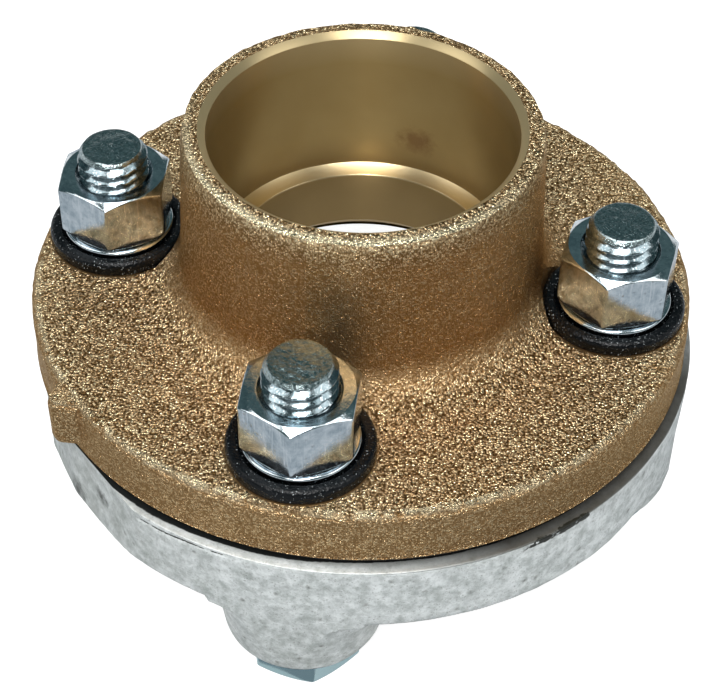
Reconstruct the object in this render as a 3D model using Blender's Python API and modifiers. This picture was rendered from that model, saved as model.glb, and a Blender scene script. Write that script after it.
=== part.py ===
"""Insulating flange union for two-inch pipe.

A cast bronze flange with a solder cup is bolted to a galvanised iron flange
with a pipe thread. A gasket keeps the two faces apart and moulded bushings
keep the four bolts off the bronze, so no current passes from metal to metal.

Lengths are in metres. Z points up along the bore, towards the solder cup.
The origin is on the axis, in the plane of the four bolt heads it stands on.
"""
import math

import bmesh
import bpy
from mathutils import Matrix

MM = 0.001

# Clearances between pieces
SEAT_GAP = 0.3 * MM
THREAD_GAP = 0.3 * MM
SLEEVE_GAP = 0.3 * MM
HOLE_GAP = 0.8 * MM
HEAD_TO_HUB_GAP = 0.6 * MM

# Bolts and nuts, half inch thread
BOLT_COUNT = 4
FRONT_BOLT_ANGLE = math.radians(258.0)
THREAD_RADIUS = 6.35 * MM
BOLT_LENGTH = 63.5 * MM
BOLT_TIP_CHAMFER = 1.1 * MM
HEX_ACROSS_FLATS = 18.8 * MM
HEX_CHAMFER_ANGLE = math.radians(28.0)
HEX_FACE_INSET = 0.3 * MM
HEAD_HEIGHT = 7.9 * MM
HEAD_TURN = math.radians(40.0)
NUT_HEIGHT = 10.8 * MM
NUT_MOUTH_DEPTH = 0.8 * MM
NUT_TURNS = [math.radians(turn) for turn in (23.1, 13.2, 38.0, 26.7)]

# Steel washer and insulating bushing
WASHER_RADIUS = 10.1 * MM
WASHER_THICKNESS = 1.5 * MM
WASHER_EDGE = 0.3 * MM
WASHER_GAP = 0.35 * MM
BUSHING_FLOOR = 1.5 * MM
BUSHING_RIM_WIDTH = 2.2 * MM
BUSHING_RIM_RISE = 1.2 * MM
BUSHING_RIM_ROUND = 0.8 * MM
SLEEVE_WALL = 1.4 * MM
SLEEVE_SHORT = 0.3 * MM

# Bronze flange, above its joint face
CUP_BORE_RADIUS = 27.05 * MM
CUP_DEPTH = 29.3 * MM
CUP_WALL = 4.4 * MM
CUP_DRAFT = 1.35 * MM
CUP_MOUTH_CHAMFER = 1.4 * MM
CUP_MOUTH_DEPTH = 1.0 * MM
CUP_RIM_ROUND = 1.6 * MM
STOP_WIDTH = 3.65 * MM
WATERWAY_LENGTH = 14.3 * MM
WATERWAY_FLARE = 3.0 * MM
BRONZE_THICKNESS = 10.8 * MM
HUB_FILLET = 8.5 * MM
BRONZE_EDGE_MARGIN = 14.0 * MM
BRONZE_TOP_ROUND = 1.2 * MM
BRONZE_BOTTOM_ROUND = 0.5 * MM
POCKET_GAP = 0.6 * MM
POCKET_DEPTH = 0.2 * MM
GATE_ANGLE = math.radians(211.5)
GATE_WIDTH = 3.4 * MM
GATE_ROOT_WIDTH = 17.0 * MM
GATE_REACH = 3.2 * MM
GATE_ROOT_DEPTH = 4.0 * MM
GATE_STEP = 0.25 * MM
GATE_ROUND = 0.9 * MM

# Gasket
GASKET_THICKNESS = 1.2 * MM
GASKET_INSET = 1.1 * MM
GASKET_BORE_GAP = 0.3 * MM

# Iron flange, below its joint face
IRON_THICKNESS = 15.4 * MM
IRON_EDGE_MARGIN = 15.5 * MM
IRON_TOP_ROUND = 0.9 * MM
IRON_BOTTOM_ROUND = 2.2 * MM
BOSS_DEPTH = 14.8 * MM
BOSS_RADIUS = 14.6 * MM
BOSS_DRAFT = 1.5 * MM
BOSS_END_ROUND = 2.4 * MM
BOSS_FILLET = 3.0 * MM
BOSS_SETBACK = 0.2 * MM
PIPE_BORE_RADIUS = 28.9 * MM
PIPE_BORE_TAPER = 1.0 / 32.0
PIPE_MOUTH_CHAMFER = 1.6 * MM
PIPE_END_CHAMFER = 3.4 * MM
PIPE_HUB_WALL = 5.2 * MM
PIPE_HUB_DRAFT = 1.6 * MM
PIPE_HUB_FILLET = 4.0 * MM
PIPE_HUB_PROUD = 3.5 * MM
PIPE_HUB_EDGE = 0.8 * MM
DRESSED_ANGLE = math.radians(205.0)
DRESSED_SPREAD = math.radians(13.0)
DRESSED_DEPTH = 2.1 * MM

# Facets
LARGE_STEPS = 60
BOSS_STEPS = 32
SMALL_STEPS = 24
SHARP_ANGLE = math.radians(32.0)
MERGE_DISTANCE = 0.01 * MM
CUTTER_MARGIN = 5.0 * MM

# Radii that follow from the sizes above
HEX_CORNER_RADIUS = HEX_ACROSS_FLATS / 2 / math.cos(math.pi / 6)
SLEEVE_BORE_RADIUS = THREAD_RADIUS + THREAD_GAP
SLEEVE_RADIUS = SLEEVE_BORE_RADIUS + SLEEVE_WALL
BRONZE_HOLE_RADIUS = SLEEVE_RADIUS + SLEEVE_GAP
IRON_HOLE_RADIUS = THREAD_RADIUS + HOLE_GAP
BUSHING_RECESS_RADIUS = WASHER_RADIUS + WASHER_GAP
BUSHING_RADIUS = BUSHING_RECESS_RADIUS + BUSHING_RIM_WIDTH
POCKET_RADIUS = BUSHING_RADIUS + POCKET_GAP
WATERWAY_RADIUS = CUP_BORE_RADIUS - STOP_WIDTH
CUP_RADIUS = CUP_BORE_RADIUS + CUP_WALL
HUB_FOOT_RADIUS = CUP_RADIUS + CUP_DRAFT
PIPE_HUB_RADIUS = PIPE_BORE_RADIUS + PIPE_HUB_WALL
BOLT_CIRCLE_RADIUS = max(
    HUB_FOOT_RADIUS + POCKET_RADIUS,
    PIPE_HUB_RADIUS + HEAD_TO_HUB_GAP + HEX_CORNER_RADIUS,
)
BRONZE_RADIUS = BOLT_CIRCLE_RADIUS + BRONZE_EDGE_MARGIN
IRON_RADIUS = BOLT_CIRCLE_RADIUS + IRON_EDGE_MARGIN
GASKET_RADIUS = BRONZE_RADIUS - GASKET_INSET

# Heights, from the bolt heads up
BOSS_END_Z = HEAD_HEIGHT + SEAT_GAP
IRON_BACK_Z = BOSS_END_Z + BOSS_DEPTH
IRON_FACE_Z = IRON_BACK_Z + IRON_THICKNESS
PIPE_HUB_END_Z = BOSS_END_Z - PIPE_HUB_PROUD
GASKET_Z = IRON_FACE_Z + SEAT_GAP
BRONZE_FACE_Z = GASKET_Z + GASKET_THICKNESS + SEAT_GAP
BRONZE_TOP_Z = BRONZE_FACE_Z + BRONZE_THICKNESS
STOP_Z = BRONZE_FACE_Z + WATERWAY_LENGTH
CUP_RIM_Z = STOP_Z + CUP_DEPTH
POCKET_Z = BRONZE_TOP_Z - POCKET_DEPTH
BUSHING_Z = POCKET_Z + SEAT_GAP
WASHER_Z = BUSHING_Z + BUSHING_FLOOR + SEAT_GAP
NUT_Z = WASHER_Z + WASHER_THICKNESS + SEAT_GAP
BOLT_TIP_Z = HEAD_HEIGHT + BOLT_LENGTH

PIPE_END_RADIUS = PIPE_BORE_RADIUS - (IRON_FACE_Z - PIPE_HUB_END_Z) * PIPE_BORE_TAPER


def clear_scene():
    """Remove every object, so that the script can be run again."""
    for item in list(bpy.data.objects):
        bpy.data.objects.remove(item, do_unlink=True)


def new_collection(name):
    """Return an empty collection linked to the scene."""
    collection = bpy.data.collections.new(name)
    bpy.context.scene.collection.children.link(collection)
    return collection


def material(name, colour, roughness, metallic):
    """Return a plain Principled material."""
    result = bpy.data.materials.new(name)
    result.use_nodes = True
    shader = result.node_tree.nodes["Principled BSDF"]
    shader.inputs["Base Color"].default_value = (*colour, 1.0)
    shader.inputs["Roughness"].default_value = roughness
    shader.inputs["Metallic"].default_value = metallic
    return result


def arc(centre, radius, start, end, steps):
    """Points of an arc in the profile plane, angles in degrees from +X."""
    points = []
    for i in range(steps + 1):
        angle = math.radians(start + (end - start) * i / steps)
        x = centre[0] + radius * math.cos(angle)
        z = centre[1] + radius * math.sin(angle)
        points.append((x, z))
    return points


def place(name, mesh, collection):
    """Make an object of a mesh and put it in a collection."""
    item = bpy.data.objects.new(name, mesh)
    collection.objects.link(item)
    return item


def turned(name, profile, steps, collection, closed=True):
    """Turn a profile about Z. It runs down its outer side, top to bottom.

    A closed profile makes a ring. An open one starts and ends on the axis.
    """
    mesh = bpy.data.meshes.new(name)
    vertices = [(x, 0.0, z) for x, z in profile]
    edges = [(i, i + 1) for i in range(len(profile) - 1)]
    if closed:
        edges.append((len(profile) - 1, 0))
    mesh.from_pydata(vertices, edges, [])
    item = place(name, mesh, collection)
    screw = item.modifiers.new("Turn", "SCREW")
    screw.axis = "Z"
    screw.angle = math.tau
    screw.steps = steps
    screw.render_steps = steps
    screw.use_merge_vertices = True
    screw.merge_threshold = MERGE_DISTANCE
    return item


def cylinder_mesh(name, radius, bottom, top, steps, x=0.0):
    """A plain upright cylinder, on the axis or at a distance from it."""
    shape = bmesh.new()
    bmesh.ops.create_cone(
        shape, cap_ends=True, segments=steps, radius1=radius, radius2=radius, depth=top - bottom
    )
    bmesh.ops.translate(shape, vec=(x, 0.0, (top + bottom) / 2), verts=shape.verts)
    mesh = bpy.data.meshes.new(name)
    shape.to_mesh(mesh)
    shape.free()
    return mesh


def block(name, size, centre, collection, outer_width=None):
    """A box. Its +X end may be narrower than its root."""
    shape = bmesh.new()
    bmesh.ops.create_cube(shape, size=1.0)
    bmesh.ops.scale(shape, vec=size, verts=shape.verts)
    if outer_width is not None:
        for vertex in shape.verts:
            if vertex.co.x > 0:
                vertex.co.y *= outer_width / size[1]
    bmesh.ops.translate(shape, vec=centre, verts=shape.verts)
    mesh = bpy.data.meshes.new(name)
    shape.to_mesh(mesh)
    shape.free()
    return place(name, mesh, collection)


def boolean(item, other, operation):
    """Cut, join or trim one object by another, which becomes a guide."""
    modifier = item.modifiers.new(operation.title(), "BOOLEAN")
    modifier.operation = operation
    modifier.solver = "EXACT"
    modifier.object = other
    other.hide_render = True
    other.display_type = "WIRE"


def evaluated_mesh(item):
    """The object's mesh with its modifiers worked in and its doubles merged."""
    bpy.context.view_layer.update()
    graph = bpy.context.evaluated_depsgraph_get()
    mesh = bpy.data.meshes.new_from_object(item.evaluated_get(graph))
    shape = bmesh.new()
    shape.from_mesh(mesh)
    bmesh.ops.remove_doubles(shape, verts=shape.verts, dist=MERGE_DISTANCE)
    bmesh.ops.dissolve_degenerate(shape, edges=shape.edges, dist=MERGE_DISTANCE)
    shape.to_mesh(mesh)
    shape.free()
    return mesh


def bolt_angles():
    """Direction of each bolt from the axis, the front one first."""
    return [FRONT_BOLT_ANGLE + math.tau * i / BOLT_COUNT for i in range(BOLT_COUNT)]


def bolt_place(angle):
    """Transform that carries a piece from the axis to its bolt."""
    x = BOLT_CIRCLE_RADIUS * math.cos(angle)
    y = BOLT_CIRCLE_RADIUS * math.sin(angle)
    return Matrix.Translation((x, y, 0.0))


def round_the_bolts(name, mesh, collection):
    """One guide with a copy of a mesh turned to the direction of each bolt."""
    shape = bmesh.new()
    for angle in bolt_angles():
        copy = mesh.copy()
        copy.transform(Matrix.Rotation(angle, 4, "Z"))
        shape.from_mesh(copy)
        bpy.data.meshes.remove(copy)
    ring = bpy.data.meshes.new(name)
    shape.to_mesh(ring)
    shape.free()
    return place(name, ring, collection)


def bolt_holes(name, radius, bottom, top, steps, collection):
    """Upright cylinders on the bolt circle, to cut holes or pockets."""
    mesh = cylinder_mesh(name, radius, bottom, top, steps, BOLT_CIRCLE_RADIUS)
    return round_the_bolts(name, mesh, collection)


def smooth(mesh):
    """Shade round faces smooth and keep the edges sharp."""
    mesh.shade_smooth()
    mesh.set_sharp_from_angle(angle=SHARP_ANGLE)


def finished(item):
    """Work the modifiers in, drop them and shade the result."""
    mesh = evaluated_mesh(item)
    item.modifiers.clear()
    smooth(mesh)
    return mesh


def make_bronze_flange(parts, guides):
    """Cast flange and solder cup, turned in one profile."""
    cup_top = CUP_RADIUS - CUP_RIM_ROUND
    foot = HUB_FOOT_RADIUS + HUB_FILLET
    top_edge = BRONZE_RADIUS - BRONZE_TOP_ROUND
    low_edge = BRONZE_RADIUS - BRONZE_BOTTOM_ROUND
    profile = [(CUP_BORE_RADIUS + CUP_MOUTH_CHAMFER, CUP_RIM_Z)]
    profile += arc((cup_top, CUP_RIM_Z - CUP_RIM_ROUND), CUP_RIM_ROUND, 90, 0, 3)
    profile += arc((foot, BRONZE_TOP_Z + HUB_FILLET), HUB_FILLET, 180, 270, 6)
    profile += arc((top_edge, BRONZE_TOP_Z - BRONZE_TOP_ROUND), BRONZE_TOP_ROUND, 90, 0, 2)
    profile += arc((low_edge, BRONZE_FACE_Z + BRONZE_BOTTOM_ROUND), BRONZE_BOTTOM_ROUND, 0, -90, 2)
    profile += [
        (WATERWAY_RADIUS + WATERWAY_FLARE, BRONZE_FACE_Z),
        (WATERWAY_RADIUS, BRONZE_FACE_Z + WATERWAY_FLARE),
        (WATERWAY_RADIUS, STOP_Z),
        (CUP_BORE_RADIUS, STOP_Z),
        (CUP_BORE_RADIUS, CUP_RIM_Z - CUP_MOUTH_DEPTH),
    ]
    flange = turned("bronze_flange", profile, LARGE_STEPS, parts)

    size = (GATE_ROOT_DEPTH + GATE_REACH, GATE_ROOT_WIDTH, BRONZE_THICKNESS - 2 * GATE_STEP)
    centre_x = BRONZE_RADIUS + (GATE_REACH - GATE_ROOT_DEPTH) / 2
    centre = (centre_x, 0.0, (BRONZE_FACE_Z + BRONZE_TOP_Z) / 2)
    gate = block("gate_pad", size, centre, guides, GATE_WIDTH)
    gate.rotation_euler.z = GATE_ANGLE
    bevel = gate.modifiers.new("Cast edges", "BEVEL")
    bevel.width = GATE_ROUND
    bevel.segments = 2
    boolean(flange, gate, "UNION")

    low = BRONZE_FACE_Z - CUTTER_MARGIN
    high = CUP_RIM_Z + CUTTER_MARGIN
    pockets = bolt_holes("pockets", POCKET_RADIUS, POCKET_Z, high, BOSS_STEPS, guides)
    boolean(flange, pockets, "DIFFERENCE")
    holes = bolt_holes("bronze_holes", BRONZE_HOLE_RADIUS, low, high, SMALL_STEPS, guides)
    boolean(flange, holes, "DIFFERENCE")

    flange.data = finished(flange)
    flange.data.materials.append(material("cast bronze", (0.42, 0.27, 0.13), 0.42, 1.0))


def boss_profile():
    """Bolt boss on its own axis: flared at its root, rounded at its end.

    The flare runs on into the disc a little, so that the two surfaces cross.
    """
    root = BOSS_RADIUS + BOSS_DRAFT
    flare = root + BOSS_FILLET
    end = BOSS_RADIUS - BOSS_END_ROUND
    buried = IRON_BACK_Z + IRON_THICKNESS / 2
    profile = [(0.0, buried), (flare, buried)]
    flare_z = IRON_BACK_Z + BOSS_SETBACK - BOSS_FILLET
    profile += arc((flare, flare_z), BOSS_FILLET, 90, 180, 3)
    profile += arc((end, BOSS_END_Z + BOSS_END_ROUND), BOSS_END_ROUND, 0, -90, 3)
    profile.append((0.0, BOSS_END_Z))
    return profile


def make_iron_flange(parts, guides):
    """Galvanised flange: turned disc and pipe hub, four bosses joined on."""
    top_edge = IRON_RADIUS - IRON_TOP_ROUND
    back_edge = IRON_RADIUS - IRON_BOTTOM_ROUND
    hub_root = PIPE_HUB_RADIUS + PIPE_HUB_DRAFT
    fillet_centre = (hub_root + PIPE_HUB_FILLET, IRON_BACK_Z - PIPE_HUB_FILLET)
    profile = [(PIPE_END_RADIUS + PIPE_END_CHAMFER, IRON_FACE_Z)]
    profile += arc((top_edge, IRON_FACE_Z - IRON_TOP_ROUND), IRON_TOP_ROUND, 90, 0, 2)
    profile += arc((back_edge, IRON_BACK_Z + IRON_BOTTOM_ROUND), IRON_BOTTOM_ROUND, 0, -90, 3)
    profile += arc(fillet_centre, PIPE_HUB_FILLET, 90, 180, 3)
    profile += [
        (PIPE_HUB_RADIUS, BOSS_END_Z + BOSS_END_ROUND),
        (PIPE_HUB_RADIUS, PIPE_HUB_END_Z + PIPE_HUB_EDGE),
        (PIPE_HUB_RADIUS - PIPE_HUB_EDGE, PIPE_HUB_END_Z),
        (PIPE_BORE_RADIUS + PIPE_MOUTH_CHAMFER, PIPE_HUB_END_Z),
        (PIPE_BORE_RADIUS, PIPE_HUB_END_Z + PIPE_MOUTH_CHAMFER),
        (PIPE_END_RADIUS, IRON_FACE_Z - PIPE_END_CHAMFER),
    ]
    flange = turned("iron_flange", profile, LARGE_STEPS, parts)

    size = (2 * CUTTER_MARGIN, IRON_RADIUS, IRON_THICKNESS + 2 * CUTTER_MARGIN)
    centre_x = IRON_RADIUS - DRESSED_DEPTH + CUTTER_MARGIN
    centre = (centre_x, 0.0, IRON_BACK_Z + IRON_THICKNESS / 2)
    for side in (-1, 0, 1):
        flat = block(f"dressed_flat_{side + 2}", size, centre, guides)
        flat.rotation_euler.z = DRESSED_ANGLE + side * DRESSED_SPREAD
        boolean(flange, flat, "DIFFERENCE")

    low = PIPE_HUB_END_Z - CUTTER_MARGIN
    high = IRON_FACE_Z + CUTTER_MARGIN
    rim = turned("boss_rim", [
        (IRON_RADIUS - BOSS_SETBACK, high),
        (IRON_RADIUS - BOSS_SETBACK, low),
        (PIPE_HUB_RADIUS - PIPE_HUB_WALL / 2, low),
        (PIPE_HUB_RADIUS - PIPE_HUB_WALL / 2, high),
    ], LARGE_STEPS, guides)
    boss = turned("boss_pattern", boss_profile(), BOSS_STEPS, guides, closed=False)
    boss.matrix_world = bolt_place(0.0)
    boolean(boss, rim, "INTERSECT")
    boss_mesh = evaluated_mesh(boss)
    boss_mesh.transform(boss.matrix_world)
    boss.hide_render = True
    boss.display_type = "WIRE"
    boolean(flange, round_the_bolts("bosses", boss_mesh, guides), "UNION")
    holes = bolt_holes("iron_holes", IRON_HOLE_RADIUS, low, high, SMALL_STEPS, guides)
    boolean(flange, holes, "DIFFERENCE")

    flange.data = finished(flange)
    flange.data.materials.append(material("galvanised iron", (0.62, 0.64, 0.64), 0.45, 0.6))


def make_gasket(parts, guides):
    """Full-face gasket with a hole for each sleeve."""
    inner = PIPE_END_RADIUS + PIPE_END_CHAMFER + GASKET_BORE_GAP
    top = GASKET_Z + GASKET_THICKNESS
    profile = [(GASKET_RADIUS, top), (GASKET_RADIUS, GASKET_Z), (inner, GASKET_Z), (inner, top)]
    gasket = turned("gasket", profile, LARGE_STEPS, parts)
    low = GASKET_Z - CUTTER_MARGIN
    high = top + CUTTER_MARGIN
    holes = bolt_holes("gasket_holes", BRONZE_HOLE_RADIUS, low, high, SMALL_STEPS, guides)
    boolean(gasket, holes, "DIFFERENCE")
    gasket.data = finished(gasket)
    gasket.data.materials.append(material("gasket rubber", (0.02, 0.02, 0.02), 0.7, 0.0))


def hexagon(name, bottom, top, chamfer_top, chamfer_bottom, collection, guides):
    """A hexagon with its corners turned off at one end or both.

    One of its corners points along X, so a turn is the direction of a corner.
    """
    mesh = cylinder_mesh(name, HEX_CORNER_RADIUS, bottom, top, 6)
    mesh.transform(Matrix.Rotation(math.pi / 2, 4, "Z"))
    prism = place(name, mesh, collection)
    face = HEX_ACROSS_FLATS / 2 - HEX_FACE_INSET
    outer = HEX_CORNER_RADIUS + HEX_FACE_INSET
    drop = (outer - face) * math.tan(HEX_CHAMFER_ANGLE)
    profile = [(0.0, top)]
    if chamfer_top:
        profile += [(face, top), (outer, top - drop)]
    else:
        profile = [(0.0, top + drop), (outer, top + drop)]
    if chamfer_bottom:
        profile += [(outer, bottom + drop), (face, bottom), (0.0, bottom)]
    else:
        profile += [(outer, bottom - drop), (0.0, bottom - drop)]
    limit = turned(f"{name}_turned", profile, SMALL_STEPS, guides, closed=False)
    boolean(prism, limit, "INTERSECT")
    return prism


def make_bolts(parts, guides):
    """Hexagon bolts put in from the iron side, heads down."""
    head = hexagon("bolt_pattern", 0.0, HEAD_HEIGHT, False, True, guides, guides)
    tip = THREAD_RADIUS - BOLT_TIP_CHAMFER
    shank = turned("bolt_shank", [
        (0.0, BOLT_TIP_Z),
        (tip, BOLT_TIP_Z),
        (THREAD_RADIUS, BOLT_TIP_Z - BOLT_TIP_CHAMFER),
        (THREAD_RADIUS, HEAD_HEIGHT / 2),
        (0.0, HEAD_HEIGHT / 2),
    ], SMALL_STEPS, guides, closed=False)
    boolean(head, shank, "UNION")
    mesh = finished(head)
    head.hide_render = True
    head.display_type = "WIRE"
    mesh.name = "bolt"
    mesh.materials.append(material("zinc plated bolt", (0.66, 0.70, 0.74), 0.25, 1.0))
    for number, angle in enumerate(bolt_angles(), start=1):
        bolt = place(f"bolt_{number}", mesh, parts)
        bolt.matrix_world = bolt_place(angle) @ Matrix.Rotation(HEAD_TURN, 4, "Z")


def make_nuts(parts, guides):
    """Hexagon nuts, chamfered at both ends and countersunk at the mouths."""
    nut = hexagon("nut_pattern", 0.0, NUT_HEIGHT, True, True, guides, guides)
    mouth = SLEEVE_BORE_RADIUS + NUT_MOUTH_DEPTH
    bore = turned("nut_bore", [
        (0.0, NUT_HEIGHT + NUT_MOUTH_DEPTH),
        (mouth + NUT_MOUTH_DEPTH, NUT_HEIGHT + NUT_MOUTH_DEPTH),
        (SLEEVE_BORE_RADIUS, NUT_HEIGHT - NUT_MOUTH_DEPTH),
        (SLEEVE_BORE_RADIUS, NUT_MOUTH_DEPTH),
        (mouth + NUT_MOUTH_DEPTH, -NUT_MOUTH_DEPTH),
        (0.0, -NUT_MOUTH_DEPTH),
    ], SMALL_STEPS, guides, closed=False)
    boolean(nut, bore, "DIFFERENCE")
    mesh = finished(nut)
    nut.hide_render = True
    nut.display_type = "WIRE"
    mesh.name = "nut"
    mesh.materials.append(material("zinc plated nut", (0.66, 0.70, 0.74), 0.22, 1.0))
    for number, angle in enumerate(bolt_angles(), start=1):
        item = place(f"nut_{number}", mesh, parts)
        turn = Matrix.Rotation(NUT_TURNS[(number - 1) % len(NUT_TURNS)], 4, "Z")
        item.matrix_world = bolt_place(angle) @ Matrix.Translation((0.0, 0.0, NUT_Z)) @ turn


def make_washers(parts, guides):
    """Flat steel washers that lie in the bushings."""
    top = WASHER_THICKNESS
    profile = [
        (WASHER_RADIUS - WASHER_EDGE, top),
        (WASHER_RADIUS, top - WASHER_EDGE),
        (WASHER_RADIUS, 0.0),
        (SLEEVE_BORE_RADIUS, 0.0),
        (SLEEVE_BORE_RADIUS, top),
    ]
    pattern = turned("washer_pattern", profile, SMALL_STEPS, guides)
    mesh = finished(pattern)
    pattern.hide_render = True
    pattern.display_type = "WIRE"
    mesh.name = "washer"
    mesh.materials.append(material("zinc plated washer", (0.70, 0.73, 0.76), 0.2, 1.0))
    for number, angle in enumerate(bolt_angles(), start=1):
        item = place(f"washer_{number}", mesh, parts)
        item.matrix_world = bolt_place(angle) @ Matrix.Translation((0.0, 0.0, WASHER_Z))


def make_bushings(parts, guides):
    """Insulating bushings: a dished collar on a sleeve through the bronze."""
    floor = BUSHING_Z + BUSHING_FLOOR
    rim = floor + BUSHING_RIM_RISE
    outer = BUSHING_RADIUS - BUSHING_RIM_ROUND
    inner = BUSHING_RECESS_RADIUS + BUSHING_RIM_ROUND
    foot = BRONZE_FACE_Z + SLEEVE_SHORT
    profile = arc((inner, rim - BUSHING_RIM_ROUND), BUSHING_RIM_ROUND, 180, 90, 2)
    profile += arc((outer, rim - BUSHING_RIM_ROUND), BUSHING_RIM_ROUND, 90, 0, 2)
    profile += [
        (BUSHING_RADIUS, BUSHING_Z),
        (SLEEVE_RADIUS, BUSHING_Z),
        (SLEEVE_RADIUS, foot),
        (SLEEVE_BORE_RADIUS, foot),
        (SLEEVE_BORE_RADIUS, floor),
        (BUSHING_RECESS_RADIUS, floor),
    ]
    pattern = turned("bushing_pattern", profile, SMALL_STEPS, guides)
    mesh = finished(pattern)
    pattern.hide_render = True
    pattern.display_type = "WIRE"
    mesh.name = "bushing"
    mesh.materials.append(material("black nylon", (0.015, 0.015, 0.017), 0.3, 0.0))
    for number, angle in enumerate(bolt_angles(), start=1):
        item = place(f"bushing_{number}", mesh, parts)
        item.matrix_world = bolt_place(angle)


def main():
    """Model the whole union."""
    clear_scene()
    parts = new_collection("pipe_flange")
    guides = new_collection("guides")
    make_bronze_flange(parts, guides)
    make_iron_flange(parts, guides)
    make_gasket(parts, guides)
    make_bolts(parts, guides)
    make_nuts(parts, guides)
    make_washers(parts, guides)
    make_bushings(parts, guides)


main()
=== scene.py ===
# %% [markdown]
# # An insulating flange union
#
# A plumber bolts this joint between copper pipe and steel pipe. The upper half
# is a rough bronze casting with a cup for solder, the lower half a galvanised
# iron casting with a pipe thread. A gasket and four black bushings keep the two
# metals apart, so that they don't corrode each other.
#
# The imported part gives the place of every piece. This lesson dresses it: each
# piece is worked out again as a fine surface, and gets its real finish.

import itertools
import math

import bpy
import numpy as np
from mathutils import Matrix


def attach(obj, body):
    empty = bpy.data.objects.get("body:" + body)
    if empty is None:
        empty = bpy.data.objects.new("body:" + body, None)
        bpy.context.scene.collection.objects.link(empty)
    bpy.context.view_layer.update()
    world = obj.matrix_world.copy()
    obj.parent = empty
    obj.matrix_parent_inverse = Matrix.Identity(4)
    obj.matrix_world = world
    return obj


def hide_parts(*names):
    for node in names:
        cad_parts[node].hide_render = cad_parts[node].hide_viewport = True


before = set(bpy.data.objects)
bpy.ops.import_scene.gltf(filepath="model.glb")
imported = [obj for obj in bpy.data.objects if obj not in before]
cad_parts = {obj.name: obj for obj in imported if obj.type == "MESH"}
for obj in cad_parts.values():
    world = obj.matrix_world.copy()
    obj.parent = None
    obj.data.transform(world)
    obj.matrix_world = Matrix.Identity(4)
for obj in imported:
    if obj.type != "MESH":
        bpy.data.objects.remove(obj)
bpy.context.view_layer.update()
print("nodes in the packed part:", len(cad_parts))

# %% [markdown]
# ## Sizes
#
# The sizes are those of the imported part, in millimetres. Heights count from
# the plane of the bolt heads, on which the union stands. The bore is the Z axis
# and the front is towards -Y.

# %% Sizes in millimetres
MM = 0.001

BOLT_CIRCLE = 46.05
BOLT_BEARINGS = [258.0, 348.0, 78.0, 168.0]
NUT_TURNS = [23.1, 13.2, 38.0, 26.7]
HEAD_TURN = 40.0

THREAD_RADIUS = 6.35
THREAD_PITCH = 1.954
THREAD_DEPTH = 1.15
HEX_HALF = 9.4
HEX_FACE = 9.1
HEX_SLOPE = math.tan(math.radians(28.0))
HEAD_HIGH = 7.9
BOLT_TIP = 71.4
NUT_LOW, NUT_HIGH = 54.7, 65.5
WASHER_LOW, WASHER_HIGH = 52.9, 54.4
WASHER_RADIUS = 10.1
SLEEVE_BORE = 6.65
SLEEVE_RADIUS = 8.05
BUSHING_LOW, BUSHING_FLOOR, BUSHING_RIM = 51.1, 52.6, 53.8
BUSHING_RADIUS = 12.65
BUSHING_RECESS = 10.45
SLEEVE_FOOT = 40.5

CUP_BORE = 27.05
CUP_OUTER = 31.45
CUP_FOOT = 32.8
CUP_RIM = 83.8
STOP_HEIGHT = 54.5
WATERWAY = 23.4
BRONZE_RADIUS = 60.05
BRONZE_FACE, BRONZE_TOP = 40.2, 51.0
HUB_FILLET = 8.5
POCKET_RADIUS = 12.75
POCKET_FLOOR = 50.95
BRONZE_HOLE = 8.35
GATE_BEARING = 212.8
PARTING_BEARING = 254.0

GASKET_LOW, GASKET_HIGH = 38.7, 39.9
GASKET_INNER, GASKET_OUTER = 31.55, 58.95

IRON_RADIUS = 61.5
IRON_BACK, IRON_FACE = 23.0, 38.4
IRON_HOLE = 7.15
PIPE_END = 27.85
PIPE_MOUTH = 28.9
PIPE_HUB = 34.1
PIPE_HUB_FOOT = 35.7
PIPE_HUB_LOW = 4.7
PIPE_PITCH = 2.209
BOSS_RADIUS = 14.6
BOSS_ROOT = 16.1
BOSS_LOW = 8.2
DRESSED_BEARINGS = [192.0, 205.0, 217.0]
DRESSED_DISTANCE = 59.4

print("from the bolt heads to the cup's rim:", CUP_RIM, "mm")

# %% [markdown]
# ## Helpers for surfaces
#
# Every piece here is a grid of points: one way along a profile, the other way
# round an axis. The helpers below make profiles, spin them, and turn a grid of
# points into a mesh whose faces point outwards.

# %% Profiles
def arc(centre, radius, start, end, count):
    """Points on an arc: centre + radius (cos a, sin a), a from start to end in degrees."""
    a = np.radians(np.linspace(start, end, count))
    return np.column_stack([centre[0] + radius * np.cos(a), centre[1] + radius * np.sin(a)])


def finer(points, spacing, closed=False):
    """The same line with more points: each straight run is divided evenly."""
    points = np.asarray(points, float)
    before = points if closed else points[:-1]
    after = np.roll(points, -1, axis=0) if closed else points[1:]
    runs = np.maximum(1, np.ceil(np.linalg.norm(after - before, axis=1) / spacing)).astype(int)
    parts = [a + (b - a) * np.linspace(0, 1, n, endpoint=False)[:, None]
             for a, b, n in zip(before, after, runs)]
    if not closed:
        parts.append(points[-1:])
    return np.vstack(parts)


def even_angles(count):
    """Angles in radians that divide one turn evenly."""
    return np.arange(count) * math.tau / count


def turned(radii, heights, angles):
    """A surface of revolution: (r cos a, r sin a, z). Both r and z may change with the angle."""
    radii, heights, angles = np.broadcast_arrays(radii, heights, angles)
    return np.stack([radii * np.cos(angles), radii * np.sin(angles), heights], axis=-1)


def spun(profile, count):
    """A profile of (radius, height) points carried once round the axis."""
    profile = np.asarray(profile, float)
    return turned(profile[:, :1], profile[:, 1:], even_angles(count))


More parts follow.
